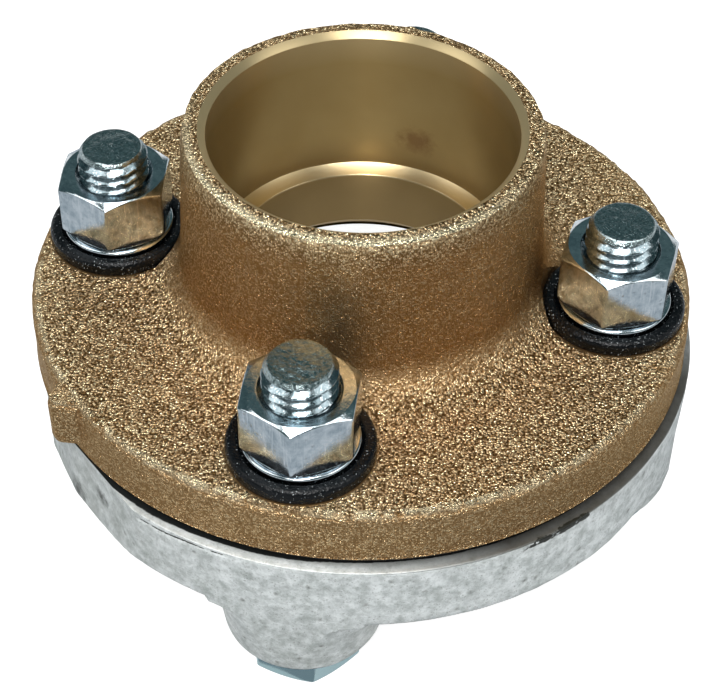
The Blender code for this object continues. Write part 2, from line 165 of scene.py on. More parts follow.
# %% From a grid of points to a mesh
def new_piece(name, points, faces):
    """An object made of points in millimetres and four-sided faces."""
    mesh = bpy.data.meshes.new(name)
    mesh.vertices.add(len(points))
    mesh.vertices.foreach_set("co", (points * MM).astype(np.float32).ravel())
    mesh.loops.add(faces.size)
    mesh.loops.foreach_set("vertex_index", faces.astype(np.int32).ravel())
    mesh.polygons.add(len(faces))
    mesh.polygons.foreach_set("loop_start", np.arange(0, faces.size, 4, dtype=np.int32))
    mesh.update(calc_edges=True)
    piece = bpy.data.objects.new(name, mesh)
    bpy.context.scene.collection.objects.link(piece)
    return piece


def grid_faces(grid, ring):
    """Four corners of each face of a grid whose columns close on themselves.

    The rows close too if ring is true. The volume that the faces enclose is the
    sum of a . (b x c) / 6 over their triangles. Where it is negative the corners
    are taken the other way, so that the faces point outwards.
    """
    rows, columns = grid.shape[:2]
    row, column = np.meshgrid(np.arange(rows if ring else rows - 1), np.arange(columns), indexing="ij")
    row_after, column_after = (row + 1) % rows, (column + 1) % columns
    faces = np.stack([row * columns + column, row * columns + column_after,
                      row_after * columns + column_after, row_after * columns + column], axis=-1)
    faces = faces.reshape(-1, 4)
    points = grid.reshape(-1, 3)
    a, b, c, d = (points[faces[:, i]] for i in range(4))
    volume = np.sum(a * np.cross(b, c)) + np.sum(a * np.cross(c, d))
    return faces[:, ::-1] if volume < 0 else faces


def grid_piece(name, *grids, ring=True):
    """One piece made of one or more closed grids."""
    points, faces, count = [], [], 0
    for grid in grids:
        points.append(grid.reshape(-1, 3))
        faces.append(grid_faces(grid, ring) + count)
        count += len(points[-1])
    return new_piece(name, np.vstack(points), np.vstack(faces))


# %% [markdown]
# A casting is joined and cut from simpler bodies, as a pattern is built up and
# then machined. Each cut is a modifier that is worked into the mesh at once, so
# that the next step finds plain points to move.

# %% Cutting, settling and shading
WELD_DISTANCE = 0.004


def settle(piece):
    """Works the piece's modifiers into its mesh."""
    graph = bpy.context.evaluated_depsgraph_get()
    mesh = bpy.data.meshes.new_from_object(piece.evaluated_get(graph))
    piece.modifiers.clear()
    old, piece.data = piece.data, mesh
    bpy.data.meshes.remove(old)
    mesh.name = piece.name


def weld(piece):
    """Merges points that lie in the same place, as at the pole of a turned grid."""
    change = piece.modifiers.new("weld", "WELD")
    change.merge_threshold = WELD_DISTANCE * MM
    settle(piece)


def combine(piece, other, operation):
    """Joins or cuts piece with other, and removes other."""
    change = piece.modifiers.new(operation, "BOOLEAN")
    change.operation = operation
    change.solver = "EXACT"
    change.object = other
    settle(piece)
    bpy.data.objects.remove(other)


def places(piece):
    """The piece's points in millimetres, as an array."""
    flat = np.empty(len(piece.data.vertices) * 3, np.float32)
    piece.data.vertices.foreach_get("co", flat)
    return flat.reshape(-1, 3).astype(float) / MM


def outward(piece):
    """The direction in which the surface faces at each point."""
    flat = np.empty(len(piece.data.vertices) * 3, np.float32)
    piece.data.vertex_normals.foreach_get("vector", flat)
    return flat.reshape(-1, 3).astype(float)


def put(piece, points):
    """Gives the piece's points new places, in millimetres."""
    piece.data.vertices.foreach_set("co", (points * MM).astype(np.float32).ravel())
    piece.data.update()


def shade(piece, angle):
    """Smooth shading, with edges sharper than the angle kept sharp."""
    piece.data.shade_smooth()
    piece.data.set_sharp_from_angle(angle=math.radians(angle))


def point_values(piece, **named):
    """Stores numbers at each point, which a material reads by their names."""
    for name, values in named.items():
        attribute = piece.data.attributes.new(name, "FLOAT", "POINT")
        attribute.data.foreach_set("value", values.astype(np.float32))


def two_finishes(piece, cast, turned_finish, is_turned):
    """Gives each face the cast finish, or the turned one where is_turned picks its centre."""
    piece.data.materials.append(cast)
    piece.data.materials.append(turned_finish)
    flat = np.empty(len(piece.data.polygons) * 3, np.float32)
    piece.data.polygons.foreach_get("center", flat)
    chosen = is_turned(flat.reshape(-1, 3) / MM)
    piece.data.polygons.foreach_set("material_index", chosen.astype(np.int32))


def seat(piece, node):
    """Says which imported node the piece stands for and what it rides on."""
    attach(piece, "root")
    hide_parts(node)
    triangles = sum(len(face.vertices) - 2 for face in piece.data.polygons)
    print(piece.name, "stands for", node, "with", triangles, "triangles")


# %% [markdown]
# ## Unevenness
#
# A sand casting is never quite smooth. Random numbers on a cubic lattice,
# blended between the lattice points, give soft lumps of any size. The same
# seed always gives the same lumps.

# %% Lumps
LATTICE = 32


def lumps(points, size, seed):
    """Soft random lumps from -1 to 1, about size millimetres across.

    Each of the eight lattice points round a point adds its random number times
    the product of three blends 3t^2 - 2t^3, one along each axis.
    """
    table = np.random.default_rng(seed).uniform(-1.0, 1.0, (LATTICE,) * 3)
    low = np.floor(points / size).astype(int)
    t = points / size - low
    t = t * t * (3.0 - 2.0 * t)
    total = np.zeros(len(points))
    for corner in itertools.product((0, 1), repeat=3):
        weight = np.prod(np.where(np.array(corner), t, 1.0 - t), axis=1)
        i, j, k = ((low + corner) % LATTICE).T
        total += weight * table[i, j, k]
    return total


def hollows(points, *layers):
    """Lumps that only sink below the surface. Each layer is (depth, size, seed)."""
    return sum(depth * (lumps(points, size, seed) - 1) for depth, size, seed in layers)


def ramp(values, low, high):
    """0 below low, 1 above high, and a straight rise between them."""
    return np.clip((values - low) / (high - low), 0.0, 1.0)


def fall(values, low, high):
    """1 below low, 0 above high, and a straight fall between them."""
    return ramp(-values, -high, -low)


def axis_distance(points):
    """Distance from the bore's axis."""
    return np.hypot(points[:, 0], points[:, 1])


def bearing_gap(points, bearing):
    """Angle in degrees from a bearing, between -180 and 180."""
    found = np.degrees(np.arctan2(points[:, 1], points[:, 0]))
    return (found - bearing + 180.0) % 360.0 - 180.0


def near_bearing(points, bearing, full, none):
    """1 within full degrees of a bearing, 0 beyond none degrees."""
    return fall(np.abs(bearing_gap(points, bearing)), full, none)


BOLT_PLACES = BOLT_CIRCLE * np.column_stack([np.cos(np.radians(BOLT_BEARINGS)),
                                             np.sin(np.radians(BOLT_BEARINGS))])


def bolt_distance(points):
    """Distance to the nearest bolt's axis."""
    return np.linalg.norm(points[:, None, :2] - BOLT_PLACES[None], axis=2).min(axis=1)


def at_bolts(grid):
    """Copies of a grid, one moved to each bolt."""
    return [grid + np.array([x, y, 0.0]) for x, y in BOLT_PLACES]


def posts(radius, low, high, count):
    """Four upright cylinders on the bolt circle, to cut holes with."""
    profile = [(0.0, low), (radius, low), (radius, high), (0.0, high)]
    cutter = grid_piece("posts", *at_bolts(spun(profile, count)), ring=False)
    weld(cutter)
    return cutter


print("bolts stand at", BOLT_PLACES.round(1).tolist())

# %% [markdown]
# ## Camera
#
# About 150 points read off the photograph fixed where it was taken from: 44
# degrees above the horizon and 36 centimetres away. The camera stands there,
# rolled by less than one degree, and looks at the foot of the bronze flange.

# %% Camera
FOCAL_PIXELS = 1913.11
FRAME_PIXELS = 722
SENSOR = 36.0
CAMERA_PLACE = [0.128, -261.86, 282.82]
CAMERA_ELEVATION = math.radians(43.94)
CAMERA_ROLL = math.radians(0.78)


def make_camera():
    """A camera whose side, up and back axes follow from its elevation and roll."""
    sine, cosine = math.sin(CAMERA_ELEVATION), math.cos(CAMERA_ELEVATION)
    side, up, back = np.array([[1.0, 0.0, 0.0], [0.0, sine, cosine], [0.0, -cosine, sine]])
    roll = np.array([math.cos(CAMERA_ROLL), math.sin(CAMERA_ROLL)])
    matrix = np.eye(4)
    matrix[:3, 0] = side * roll[0] + up * roll[1]
    matrix[:3, 1] = up * roll[0] - side * roll[1]
    matrix[:3, 2] = back
    matrix[:3, 3] = np.array(CAMERA_PLACE) * MM
    data = bpy.data.cameras.new("camera")
    data.sensor_width = SENSOR
    data.lens = FOCAL_PIXELS * SENSOR / FRAME_PIXELS
    data.clip_start, data.clip_end = 0.01, 20.0
    camera = bpy.data.objects.new("camera", data)
    camera.matrix_world = Matrix(matrix.tolist())
    bpy.context.scene.collection.objects.link(camera)
    bpy.context.scene.camera = camera
    return camera


print("lens:", round(make_camera().data.lens, 2), "mm")

# %% [markdown]
# ## Node helpers
#
# A material is a small tree of nodes. `Tree` keeps the writing short: it adds a
# node, sets its values, and joins its inputs to other nodes' outputs. A group
# is a tree with named inputs and outputs that several materials share.

# %% Node trees
class Tree:
    """Adds and joins the nodes of a material or a group."""

    def __init__(self, tree):
        self.tree = tree

    def fill(self, sockets, values):
        """Gives each socket its number or colour, or joins it to another node's output."""
        for key, value in values.items():
            if isinstance(value, bpy.types.NodeSocket):
                self.tree.links.new(value, sockets[key])
            else:
                sockets[key].default_value = value

    def add(self, kind, values=None, **options):
        """A node with its options set and its inputs filled."""
        node = self.tree.nodes.new(kind)
        for key, value in options.items():
            setattr(node, key, value)
        self.fill(node.inputs, values or {})
        return node

    def place(self):
        """Where the point lies on the object, in metres."""
        return self.add("ShaderNodeTexCoord").outputs["Object"]

    def value(self, name):
        """The number stored at each point under this name."""
        return self.add("ShaderNodeAttribute", attribute_name=name).outputs["Fac"]

    def math(self, operation, a, b=0.0, clamp=False):
        """The result of one sum."""
        return self.add("ShaderNodeMath", {0: a, 1: b}, operation=operation, use_clamp=clamp).outputs[0]

    def times(self, a, b, clamp=False):
        """The product of two numbers."""
        return self.math("MULTIPLY", a, b, clamp)

    def blend(self, share, a, b):
        """A colour between a and b. Each is an output, or its red, green and blue."""
        a, b = ((*colour, 1.0) if isinstance(colour, tuple) else colour for colour in (a, b))
        return self.add("ShaderNodeMix", {"Factor": share, 6: a, 7: b}, data_type="RGBA").outputs[2]

    def coats(self, colour, *coats):
        """The colour under more coats. Each coat is (share, colour)."""
        for share, coat in coats:
            colour = self.blend(share, colour, coat)
        return colour

    def between(self, share, a, b):
        """A number between a and b."""
        return self.add("ShaderNodeMix", {"Factor": share, 2: a, 3: b}, data_type="FLOAT").outputs[0]

    def spread(self, value, low, high, to_low=0.0, to_high=1.0):
        """The value stretched from one range to another, and held inside it."""
        values = {"Value": value, "From Min": low, "From Max": high, "To Min": to_low, "To Max": to_high}
        return self.add("ShaderNodeMapRange", values, clamp=True).outputs["Result"]

    def noise(self, place, scale, detail=2.0, roughness=0.5):
        """Cloudy noise from 0 to 1. The scale counts lumps per metre."""
        values = {"Vector": place, "Scale": scale, "Detail": detail, "Roughness": roughness}
        return self.add("ShaderNodeTexNoise", values).outputs["Fac"]

    def cells(self, place, scale):
        """The distance to the middle of the nearest cell, and that cell's random number."""
        cell = self.add("ShaderNodeTexVoronoi", {"Vector": place, "Scale": scale}, feature="F1").outputs
        return cell["Distance"], self.add("ShaderNodeSeparateColor", {0: cell["Color"]}).outputs[0]


def new_group(name, inputs, outputs):
    """A shader node group, from its inputs' start values and its outputs' names."""
    group = bpy.data.node_groups.new(name, "ShaderNodeTree")
    for label, value in inputs.items():
        socket = group.interface.new_socket(label, in_out="INPUT", socket_type="NodeSocketFloat")
        socket.default_value = value
    for label in outputs:
        group.interface.new_socket(label, in_out="OUTPUT", socket_type="NodeSocketFloat")
    tree = Tree(group)
    print("group", name, "takes", ", ".join(inputs), "and gives", ", ".join(outputs))
    return tree, tree.add("NodeGroupInput").outputs, tree.add("NodeGroupOutput").inputs


def use_group(tree, name, values):
    """Places a group in a material with its own values, and returns its outputs."""
    return tree.add("ShaderNodeGroup", values, node_tree=bpy.data.node_groups[name]).outputs


def new_material(name):
    """A material with an empty tree, its Principled shader and its output joined."""
    material = bpy.data.materials.new(name)
    material.use_nodes = True
    material.node_tree.nodes.clear()
    tree = Tree(material.node_tree)
    shader = tree.add("ShaderNodeBsdfPrincipled")
    output = tree.add("ShaderNodeOutputMaterial")
    material.node_tree.links.new(shader.outputs[0], output.inputs[0])
    return material, tree, shader


def finish_with(tree, shader, colour, roughness, height=None, depth=0.0, metallic=1.0):
    """Gives the shader its colour, gloss and metal share, and a bump of a depth in metres."""
    tree.fill(shader.inputs, {"Base Color": colour, "Roughness": roughness, "Metallic": metallic})
    if height is not None:
        bump = tree.add("ShaderNodeBump", {"Height": height, "Distance": depth})
        tree.fill(shader.inputs, {"Normal": bump.outputs["Normal"]})


# %% [markdown]
# ## Shared effects
#
# Three effects are used by more than one finish, so each is a group.
#
# - Cast skin: the pebbled print of moulding sand, in two sizes of grain, with
#   larger clouds of tone over it.
# - Turned marks: the fine rings that a lathe tool leaves, which follow the
#   radius on a face and the height in a bore.
# - Specks: small scattered spots, such as pits, dirt or chips.

# %% Cast skin group
def build_cast_skin():
    """Small domes, one per cell, of height 1 - d^2 at distance d from its middle, broken by noise."""
    tree, source, sink = new_group(
        "cast skin",
        {"Grain": 1900.0, "Break": 2400.0, "Break share": 0.4, "Cloud": 90.0},
        ["Height", "Tone", "Fleck", "Cloud"],
    )
    place = tree.place()
    away, random = tree.cells(place, source["Grain"])
    dome = tree.math("SUBTRACT", 1.0, tree.times(away, away))
    uneven = tree.times(dome, tree.spread(random, 0.0, 1.0, 0.45, 1.0))
    broken = tree.noise(place, source["Break"], 2.0, 0.6)
    height = tree.between(source["Break share"], uneven, broken)
    tree.fill(sink, {
        "Height": height,
        "Tone": tree.spread(height, 0.35, 0.72),
        "Fleck": tree.spread(uneven, 0.64, 0.82),
        "Cloud": tree.noise(place, source["Cloud"], 4.0, 0.6),
    })


def cast_skin(tree, grain, broken, share, cloud):
    """The cast skin's outputs, with its grains, breaks and clouds counted per metre."""
    values = {"Grain": grain, "Break": broken, "Break share": share, "Cloud": cloud}
    return use_group(tree, "cast skin", values)


build_cast_skin()


# %% Turned marks group
def build_turned_marks():
    """Rings of a lathe tool, from noise that changes only along radius and height."""
    tree, source, sink = new_group("turned marks", {"Feed": 3000.0, "Chatter": 400.0}, ["Height", "Band"])
    parts = tree.add("ShaderNodeSeparateXYZ", {0: tree.place()}).outputs
    square = tree.math("ADD", tree.times(parts["X"], parts["X"]), tree.times(parts["Y"], parts["Y"]))
    radius = tree.math("SQRT", square)
    line = tree.add("ShaderNodeCombineXYZ", {"X": radius, "Y": parts["Z"], "Z": 0.0}).outputs[0]
    tree.fill(sink, {
        "Height": tree.noise(line, source["Feed"], 2.0, 0.6),
        "Band": tree.noise(line, source["Chatter"], 3.0, 0.6),
    })


build_turned_marks()


# %% Specks group
WOBBLE = (0.0008, 0.0008, 0.0008)


def build_specks():
    """Spots: where a cell's random number is low enough, a ragged disc round its centre."""
    tree, source, sink = new_group("specks", {"Scale": 600.0, "Share": 0.2, "Size": 0.3}, ["Mask"])
    place = tree.place()
    noise = {"Vector": place, "Scale": 1500.0, "Detail": 2.0}
    wobble = tree.add("ShaderNodeTexNoise", noise).outputs["Color"]
    small = tree.add("ShaderNodeVectorMath", {0: wobble, 1: WOBBLE}, operation="MULTIPLY").outputs[0]
    moved = tree.add("ShaderNodeVectorMath", {0: place, 1: small}, operation="ADD").outputs[0]
    away, random = tree.cells(moved, source["Scale"])
    chosen = tree.math("LESS_THAN", random, source["Share"])
    near = tree.spread(away, source["Size"], 0.0)
    tree.fill(sink, {"Mask": tree.times(chosen, near)})


def specks(tree, scale, share, size):
    """The specks' mask: cells per metre, the share that holds a spot, and its size in the cell."""
    return use_group(tree, "specks", {"Scale": scale, "Share": share, "Size": size})["Mask"]


build_specks()

# %% [markdown]
# ## Finish of the bronze casting
#
# Two finishes meet on this piece. The skin is bronze as it left the sand:
# brown in the hollows, gold on the grains that touched nothing but air and
# tumbling stones, with painted glints on their tops. The bore and the joint
# face were turned on a lathe, so they are smooth, olive gold, with rings too
# fine to count.

# %% Bronze finishes
TURNED_DEPTH = 0.000004


def bronze_skin():
    """Rough cast bronze: brown hollows, gold grains with painted glints, finer on the walls, brighter where
    handling rubbed it, with painted highlights on the lip and edge and a painted dark reflection of the front
    bolt on the hub.
    """
    material, tree, shader = new_material("cast bronze skin")
    level, pebble, worn_and_lit = tree.value("level"), tree.value("pebble"), tree.value("wear")
    coarse = cast_skin(tree, 2100.0, 3000.0, 0.46, 70.0)
    fine = cast_skin(tree, 2900.0, 3800.0, 0.5, 70.0)
    crumbled = tree.spread(pebble, 0.28, 1.0, 0.70, 0.96)
    fine_tone = tree.times(tree.spread(fine["Height"], 0.46, 0.62), crumbled)
    fine_tone = tree.between(tree.spread(pebble, 0.50, 0.80, 0.0, 0.2), fine_tone, 0.62)
    tone = tree.between(level, fine_tone, tree.spread(coarse["Height"], 0.42, 0.66))
    glint = tree.times(fine["Fleck"], tree.spread(pebble, 0.40, 1.0, 0.50, 0.60))
    fleck_and_glint = tree.between(level, glint, coarse["Fleck"])
    colour = tree.coats(
        (0.115, 0.062, 0.022),
        (tree.spread(coarse["Cloud"], 0.35, 0.65), (0.21, 0.125, 0.052)),
        (tone, (1.0, 0.72, 0.41)),
        # Painted glints on the tops of the grains.
        (tree.times(fleck_and_glint, 0.9), (1.0, 0.88, 0.58)),
        # Lip and edge: rubbed bright by handling, with a painted highlight that is strongest at the front.
        (tree.times(worn_and_lit, 0.9), (1.0, 0.88, 0.60)),
        (tree.times(tree.value("warm"), 0.62), (0.36, 0.18, 0.06)),
        # Painted dark reflection of the front bolt, in a band up the hub.
        (tree.times(tree.value("smoke"), 0.55), (0.16, 0.125, 0.075)),
    )
    roughness = tree.between(worn_and_lit, tree.spread(tone, 0.0, 1.0, 0.42, 0.20), 0.24)
    height = tree.between(level, tree.times(fine["Height"], 0.7), coarse["Height"])
    finish_with(tree, shader, colour, roughness, tree.times(height, pebble), 0.0009)
    shader.inputs["Specular Tint"].default_value = (0.88, 0.72, 0.54, 1)
    return material


def bronze_turned():
    """Machined bronze. Its rings lie round the axis, so they smear a reflection along the axis."""
    material, tree, shader = new_material("turned bronze")
    marks = use_group(tree, "turned marks", {"Feed": 5200.0, "Chatter": 260.0})
    place, faced = tree.place(), tree.value("faced")
    # A real stained patch in the bore, and painted shade in the gap round each bushing.
    blotch = tree.spread(tree.times(tree.value("stain"), tree.noise(place, 420.0, 5.0, 0.75)), 0.20, 0.50)
    colour = tree.coats(
        (0.265, 0.182, 0.068),
        (tree.spread(tree.noise(place, 55.0, 3.0, 0.55), 0.3, 0.7), (0.31, 0.222, 0.09)),
        # Stop ring and mouth chamfer: a cut finish, painted lighter as a highlight.
        (faced, (0.79, 0.65, 0.40)),
        # Painted shade in the waterway, the bushing seats and the foot of the cup.
        (tree.value("dull"), (0.215, 0.15, 0.065)),
        (tree.times(blotch, 0.7), (0.15, 0.075, 0.03)),
    )
    roughness = tree.between(faced, tree.spread(marks["Band"], 0.3, 0.7, 0.34, 0.39), 0.31)
    metallic = tree.between(faced, 0.6, 1.0)
    finish_with(tree, shader, colour, roughness, marks["Height"], TURNED_DEPTH, metallic)
    tree.fill(shader.inputs, {
        "Specular IOR Level": 0.2,
        "Specular Tint": (0.88, 0.72, 0.50, 1),
        "Tangent": tree.add("ShaderNodeTangent", direction_type="RADIAL", axis="Z").outputs[0],
        "Anisotropic": 0.84,
        "Anisotropic Rotation": 0.25,
    })
    return material


# %% [markdown]
# ## The bronze casting
#
# The casting is a body of revolution: cup, fillet, flange, waterway and bore in
# one closed profile. The real one was cast in a two-part sand mould, so a faint
# ridge runs down the hub where the halves met, and a stub on the rim shows
# where the metal was poured in. Then the bores and the joint face were turned
# and the four bushing seats were spot-faced.
#
# The profile is spun, the stub joined on, the seats and holes cut, and last the
# points of the cast skin are moved along the surface's own direction.

# %% Bronze casting
BRONZE_COLUMNS = 560
CAST_SPACING, MACHINED_SPACING = 0.62, 6.0
RIM_ROUND, TOP_ROUND, FACE_ROUND = 0.8, 1.5, 0.5
GATE_HIGH = 10.3


def bronze_profile():
    """Cast outside with close points, machined inside with wide ones."""
    foot = CUP_FOOT + HUB_FILLET
    cast = np.vstack([
        [(CUP_BORE + 1.4, CUP_RIM)],
        arc((CUP_OUTER - RIM_ROUND, CUP_RIM - RIM_ROUND), RIM_ROUND, 90, 0, 5),
        arc((foot, BRONZE_TOP + HUB_FILLET), HUB_FILLET, 180, 270, 22),
        arc((BRONZE_RADIUS - TOP_ROUND, BRONZE_TOP - TOP_ROUND), TOP_ROUND, 90, 0, 7),
        arc((BRONZE_RADIUS - FACE_ROUND, BRONZE_FACE + FACE_ROUND), FACE_ROUND, 0, -90, 4),
    ])
    machined = [
        (WATERWAY + 3.0, BRONZE_FACE),
        (WATERWAY, BRONZE_FACE + 3.0),
        (WATERWAY, STOP_HEIGHT - 0.60),
        (WATERWAY + 0.25, STOP_HEIGHT - 0.30),
        (CUP_BORE - 0.03, STOP_HEIGHT),
        (CUP_BORE, STOP_HEIGHT + 0.03),
        (CUP_BORE, STOP_HEIGHT + 1.2),
        (CUP_BORE, CUP_RIM - 1.05),
        (CUP_BORE + 0.1, CUP_RIM - 0.95),
        (CUP_BORE + 1.35, CUP_RIM - 0.02),
    ]
    return np.vstack([finer(cast, CAST_SPACING), finer(machined, MACHINED_SPACING)])


def gate_stub():
    """The stub left by the pouring gate: a rounded wedge, narrow at its outer end.

    Each section across the wedge is a superellipse |u|^n + |v|^n = 1 with n = 7.
    """
    along = np.array([0.0, 2.0, 4.0, 6.0, 6.5, 6.85, 7.0, 7.0])
    shrink = np.array([1.0, 1.0, 1.0, 0.99, 0.95, 0.88, 0.75, 0.0])
    half_width = np.interp(along, [0.0, 7.0], [7.6, 1.1]) * shrink
    half_height = GATE_HIGH / 2 * shrink
    a = even_angles(64)
    power = 2.0 / 7.0
    u = np.sign(np.cos(a)) * np.abs(np.cos(a)) ** power
    v = np.sign(np.sin(a)) * np.abs(np.sin(a)) ** power
    out = (BRONZE_RADIUS - 4.0 + along)[:, None] + 0.0 * u
    across, up = half_width[:, None] * u, half_height[:, None] * v
    bearing = math.radians(GATE_BEARING)
    cosine, sine = math.cos(bearing), math.sin(bearing)
    grid = np.stack([out * cosine - across * sine, out * sine + across * cosine,
                     (BRONZE_FACE + BRONZE_TOP) / 2 + up], axis=-1)
    start = grid[:1].mean(axis=1, keepdims=True) + 0.0 * grid[:1]
    return np.vstack([start, grid])


def make_bronze():
    """Spins, joins and cuts the casting."""
    piece = grid_piece("bronze_casting", spun(bronze_profile(), BRONZE_COLUMNS))
    stub = grid_piece("stub", gate_stub(), ring=False)
    weld(stub)
    combine(piece, stub, "UNION")
    combine(piece, posts(POCKET_RADIUS, POCKET_FLOOR, CUP_RIM + 5, 128), "DIFFERENCE")
    combine(piece, posts(BRONZE_HOLE, BRONZE_FACE - 5, CUP_RIM + 5, 96), "DIFFERENCE")
    weld(piece)
    return piece


bronze = make_bronze()
print("bronze casting has", len(bronze.data.polygons), "faces")

# %% [markdown]
# The skin gets lumps of three sizes, all of them hollows below the pattern's
# surface, so the piece never grows. The parting ridge is a narrow bell curve of
# the bearing, and the same curve on the far side. Another bell curve, of the
# distance from the rim's outer corner, wears that corner round at the front.

# %% Cast skin of the bronze
FRONT_BEARING = 250.0


def roughen_bronze(piece):
    """Moves the cast points. Returns what the marks need to know of each point."""
    points, facing = places(piece), outward(piece)
    radius, z, from_bolt = axis_distance(points), points[:, 2], bolt_distance(points)
    turned_part = (radius < CUP_BORE + 1.2) | (z < BRONZE_FACE + 0.25)
    in_seat = (from_bolt < POCKET_RADIUS + 0.01) & (z < POCKET_FLOOR + 0.01)
    on_top = np.abs(z - BRONZE_TOP) < 0.4
    cast = np.where(turned_part | in_seat, 0.0, 1.0)
    cast = cast * np.where(z > CUP_RIM - 1.5, ramp(radius, CUP_BORE + 1.4, CUP_BORE + 2.3), 1.0)
    cast = cast * np.where(on_top, ramp(from_bolt, POCKET_RADIUS, POCKET_RADIUS + 2.5), 1.0)
    skin = hollows(points, (0.10, 11.0, 1), (0.07, 3.1, 2), (0.07, 1.3, 3))
    ridge = sum(np.exp(-(bearing_gap(points, bearing) / 1.6) ** 2)
                for bearing in (PARTING_BEARING, PARTING_BEARING - 180))
    on_hub = ramp(z, BRONZE_TOP + 4.0, BRONZE_TOP + 12.0)
    brink = ramp(radius, BRONZE_RADIUS - 2.2, BRONZE_RADIUS - 1.0)
    brink = brink * ramp(z, BRONZE_TOP - 1.6, BRONZE_TOP - 0.9)
    brink = 3.0 * brink + ramp(z, CUP_RIM - 2.0, CUP_RIM - 1.2)
    crumbs = hollows(points, (0.08, 1.15, 4)) * brink
    at_front = near_bearing(points, FRONT_BEARING, 25.0, 85.0)
    corner = np.hypot(radius - CUP_OUTER, z - CUP_RIM)
    knocked = 0.85 * at_front * np.exp(-(corner / 1.6) ** 2)
    points = points + facing * (cast * (skin + crumbs - knocked + 0.30 * ridge * on_hub))[:, None]
    points[:, 2] = np.minimum(points[:, 2], CUP_RIM)
    put(piece, points)
    return points, facing, radius, cast, at_front, in_seat


bronze_points = roughen_bronze(bronze)
print("deepest of the bronze points below the rim:", round(CUP_RIM - bronze_points[0][:, 2].min(), 1), "mm")

# %% [markdown]
# The finishes have to know what lies where: the lip and the edge that handling
# wore bright, with a painted highlight on them that is strongest at the front;
# walls whose grain is finer than that of level faces; a painted dark reflection
# of the front bolt on the hub; a painted highlight on the stop and the mouth
# chamfer; painted shade in the waterway, at the foot of the cup and in the
# bushing seats; and a stained patch inside the bore. Each is a number at every
# point, stored by name: 0 for none, 1 for full, and more where it should also
# win over the noise that breaks it up.

# %% Marks for the bronze finishes
# Bearing of the painted dark reflection of the front bolt on the hub.
BOLT_REFLECTION_BEARING = 264.0
STAIN_PLACE = np.array([10.2, 25.0, 60.6])
STAIN_REACH, SEAT_SHADE = 7.0, 2.2


def mark_bronze(piece, points, facing, radius, cast, at_front, in_seat):
    """Stores the numbers that the two bronze finishes read."""
    z, up = points[:, 2], facing[:, 2]
    rim = ramp(z, CUP_RIM - 2.2, CUP_RIM - 0.8) * cast
    # The lip and the flange's top edge: rubbed bright, plus a painted highlight weighted towards the front.
    lip = rim * ramp(radius, CUP_OUTER - 2.2, CUP_OUTER - 1.4) * ramp(up, 0.1, 0.4) * (0.05 + 0.95 * at_front)
    edge = ramp(radius, BRONZE_RADIUS - 1.8, BRONZE_RADIUS - 1.2)
    edge = edge * ramp(z, BRONZE_TOP - 1.2, BRONZE_TOP - 0.6) * cast
    edge = edge * (0.5 + 0.5 * at_front) * ramp(lumps(points, 1.2, 5), -0.6, 0.2)
    level = np.clip(ramp(up, 0.25, 0.85) + rim, 0.0, 1.0)
    on_side = ramp(radius, BRONZE_RADIUS - 1.5, BRONZE_RADIUS - 0.8)
    on_hub = fall(radius, CUP_FOOT, CUP_FOOT + 4.0) * fall(z, CUP_RIM - 6.0, CUP_RIM - 1.0)
    # A band up the hub over the front bolt, where a dark reflection of the bolt is painted.
    reflection_band = np.exp(-((bearing_gap(points, BOLT_REFLECTION_BEARING) + 2.0 * lumps(points, 6.0, 6)) / 6.5) ** 2)
    from_stain = np.linalg.norm((points - STAIN_PLACE) * (1.0, 1.0, 2.0), axis=1)
    # The mouth chamfer and the stop ring, which get a painted highlight in the turned finish.
    chamfer = 0.45 * ramp(z, CUP_RIM - 1.1, CUP_RIM - 1.0) * fall(radius, CUP_BORE + 1.4, CUP_BORE + 1.5)
    stop = ramp(z, STOP_HEIGHT - 0.55, STOP_HEIGHT - 0.35) * fall(radius, CUP_BORE - 0.02, CUP_BORE)
    # Painted shade: the waterway, the bushing seats, and the cup's bore darker towards the stop.
    waterway = (radius < CUP_BORE) & (z < STOP_HEIGHT - 0.5) & (z > BRONZE_FACE + 0.1)
    in_cup = (z > STOP_HEIGHT + 0.02) & (radius < CUP_BORE + 0.5)
    cup_foot_shade = 0.9 * ramp(STOP_HEIGHT + 7.0 - z, 0.0, 6.5) * in_cup
    point_values(
        piece,
        wear=np.clip(lip + edge, 0.0, 1.0),
        level=level,
        pebble=np.maximum(0.50 + 0.50 * level - 0.2 * lip, 0.8 * on_side),
        warm=np.maximum(on_hub, 0.6 * on_side),
        smoke=reflection_band * on_hub * fall(z, CUP_RIM - 17.0, CUP_RIM - 5.0),
        # Painted shade in the bushing seats, and a real stained patch in the bore.
        stain=np.where(in_seat, SEAT_SHADE, fall(from_stain, 0.3 * STAIN_REACH, STAIN_REACH)),
        faced=chamfer + stop,
        dull=np.where(waterway | in_seat, 1.0, cup_foot_shade),
    )


def bronze_is_turned(centres):
    """True for the bores, the joint face and the bushing seats."""
    z = centres[:, 2]
    machined = (axis_distance(centres) < CUP_BORE + 1.3) | (z < BRONZE_FACE + 0.1)
    return machined | (bolt_distance(centres) < POCKET_RADIUS + 0.05) & (z < BRONZE_TOP + HUB_FILLET)


mark_bronze(bronze, *bronze_points)
two_finishes(bronze, bronze_skin(), bronze_turned(), bronze_is_turned)
shade(bronze, 42)
seat(bronze, "bronze_flange")

# %% [markdown]
# ## Finish of the iron casting
#
# The iron was dipped in molten zinc. The coat is pale grey, cloudy, faintly
# blue, and full of small dark pits. It is thin on the top edge, where it broke
# off and left dark chips. The joint face was turned after dipping, so it is
# bare grey metal. Two dark smudges lie on the flats at the left. A flat has no
# points inside it to store a number at, so the smudges are placed by distance.

# %% Iron finishes
SMUDGES = [((-0.0503, -0.0311, 0.0248), 0.0032), ((-0.0454, -0.0392, 0.0313), 0.0023)]


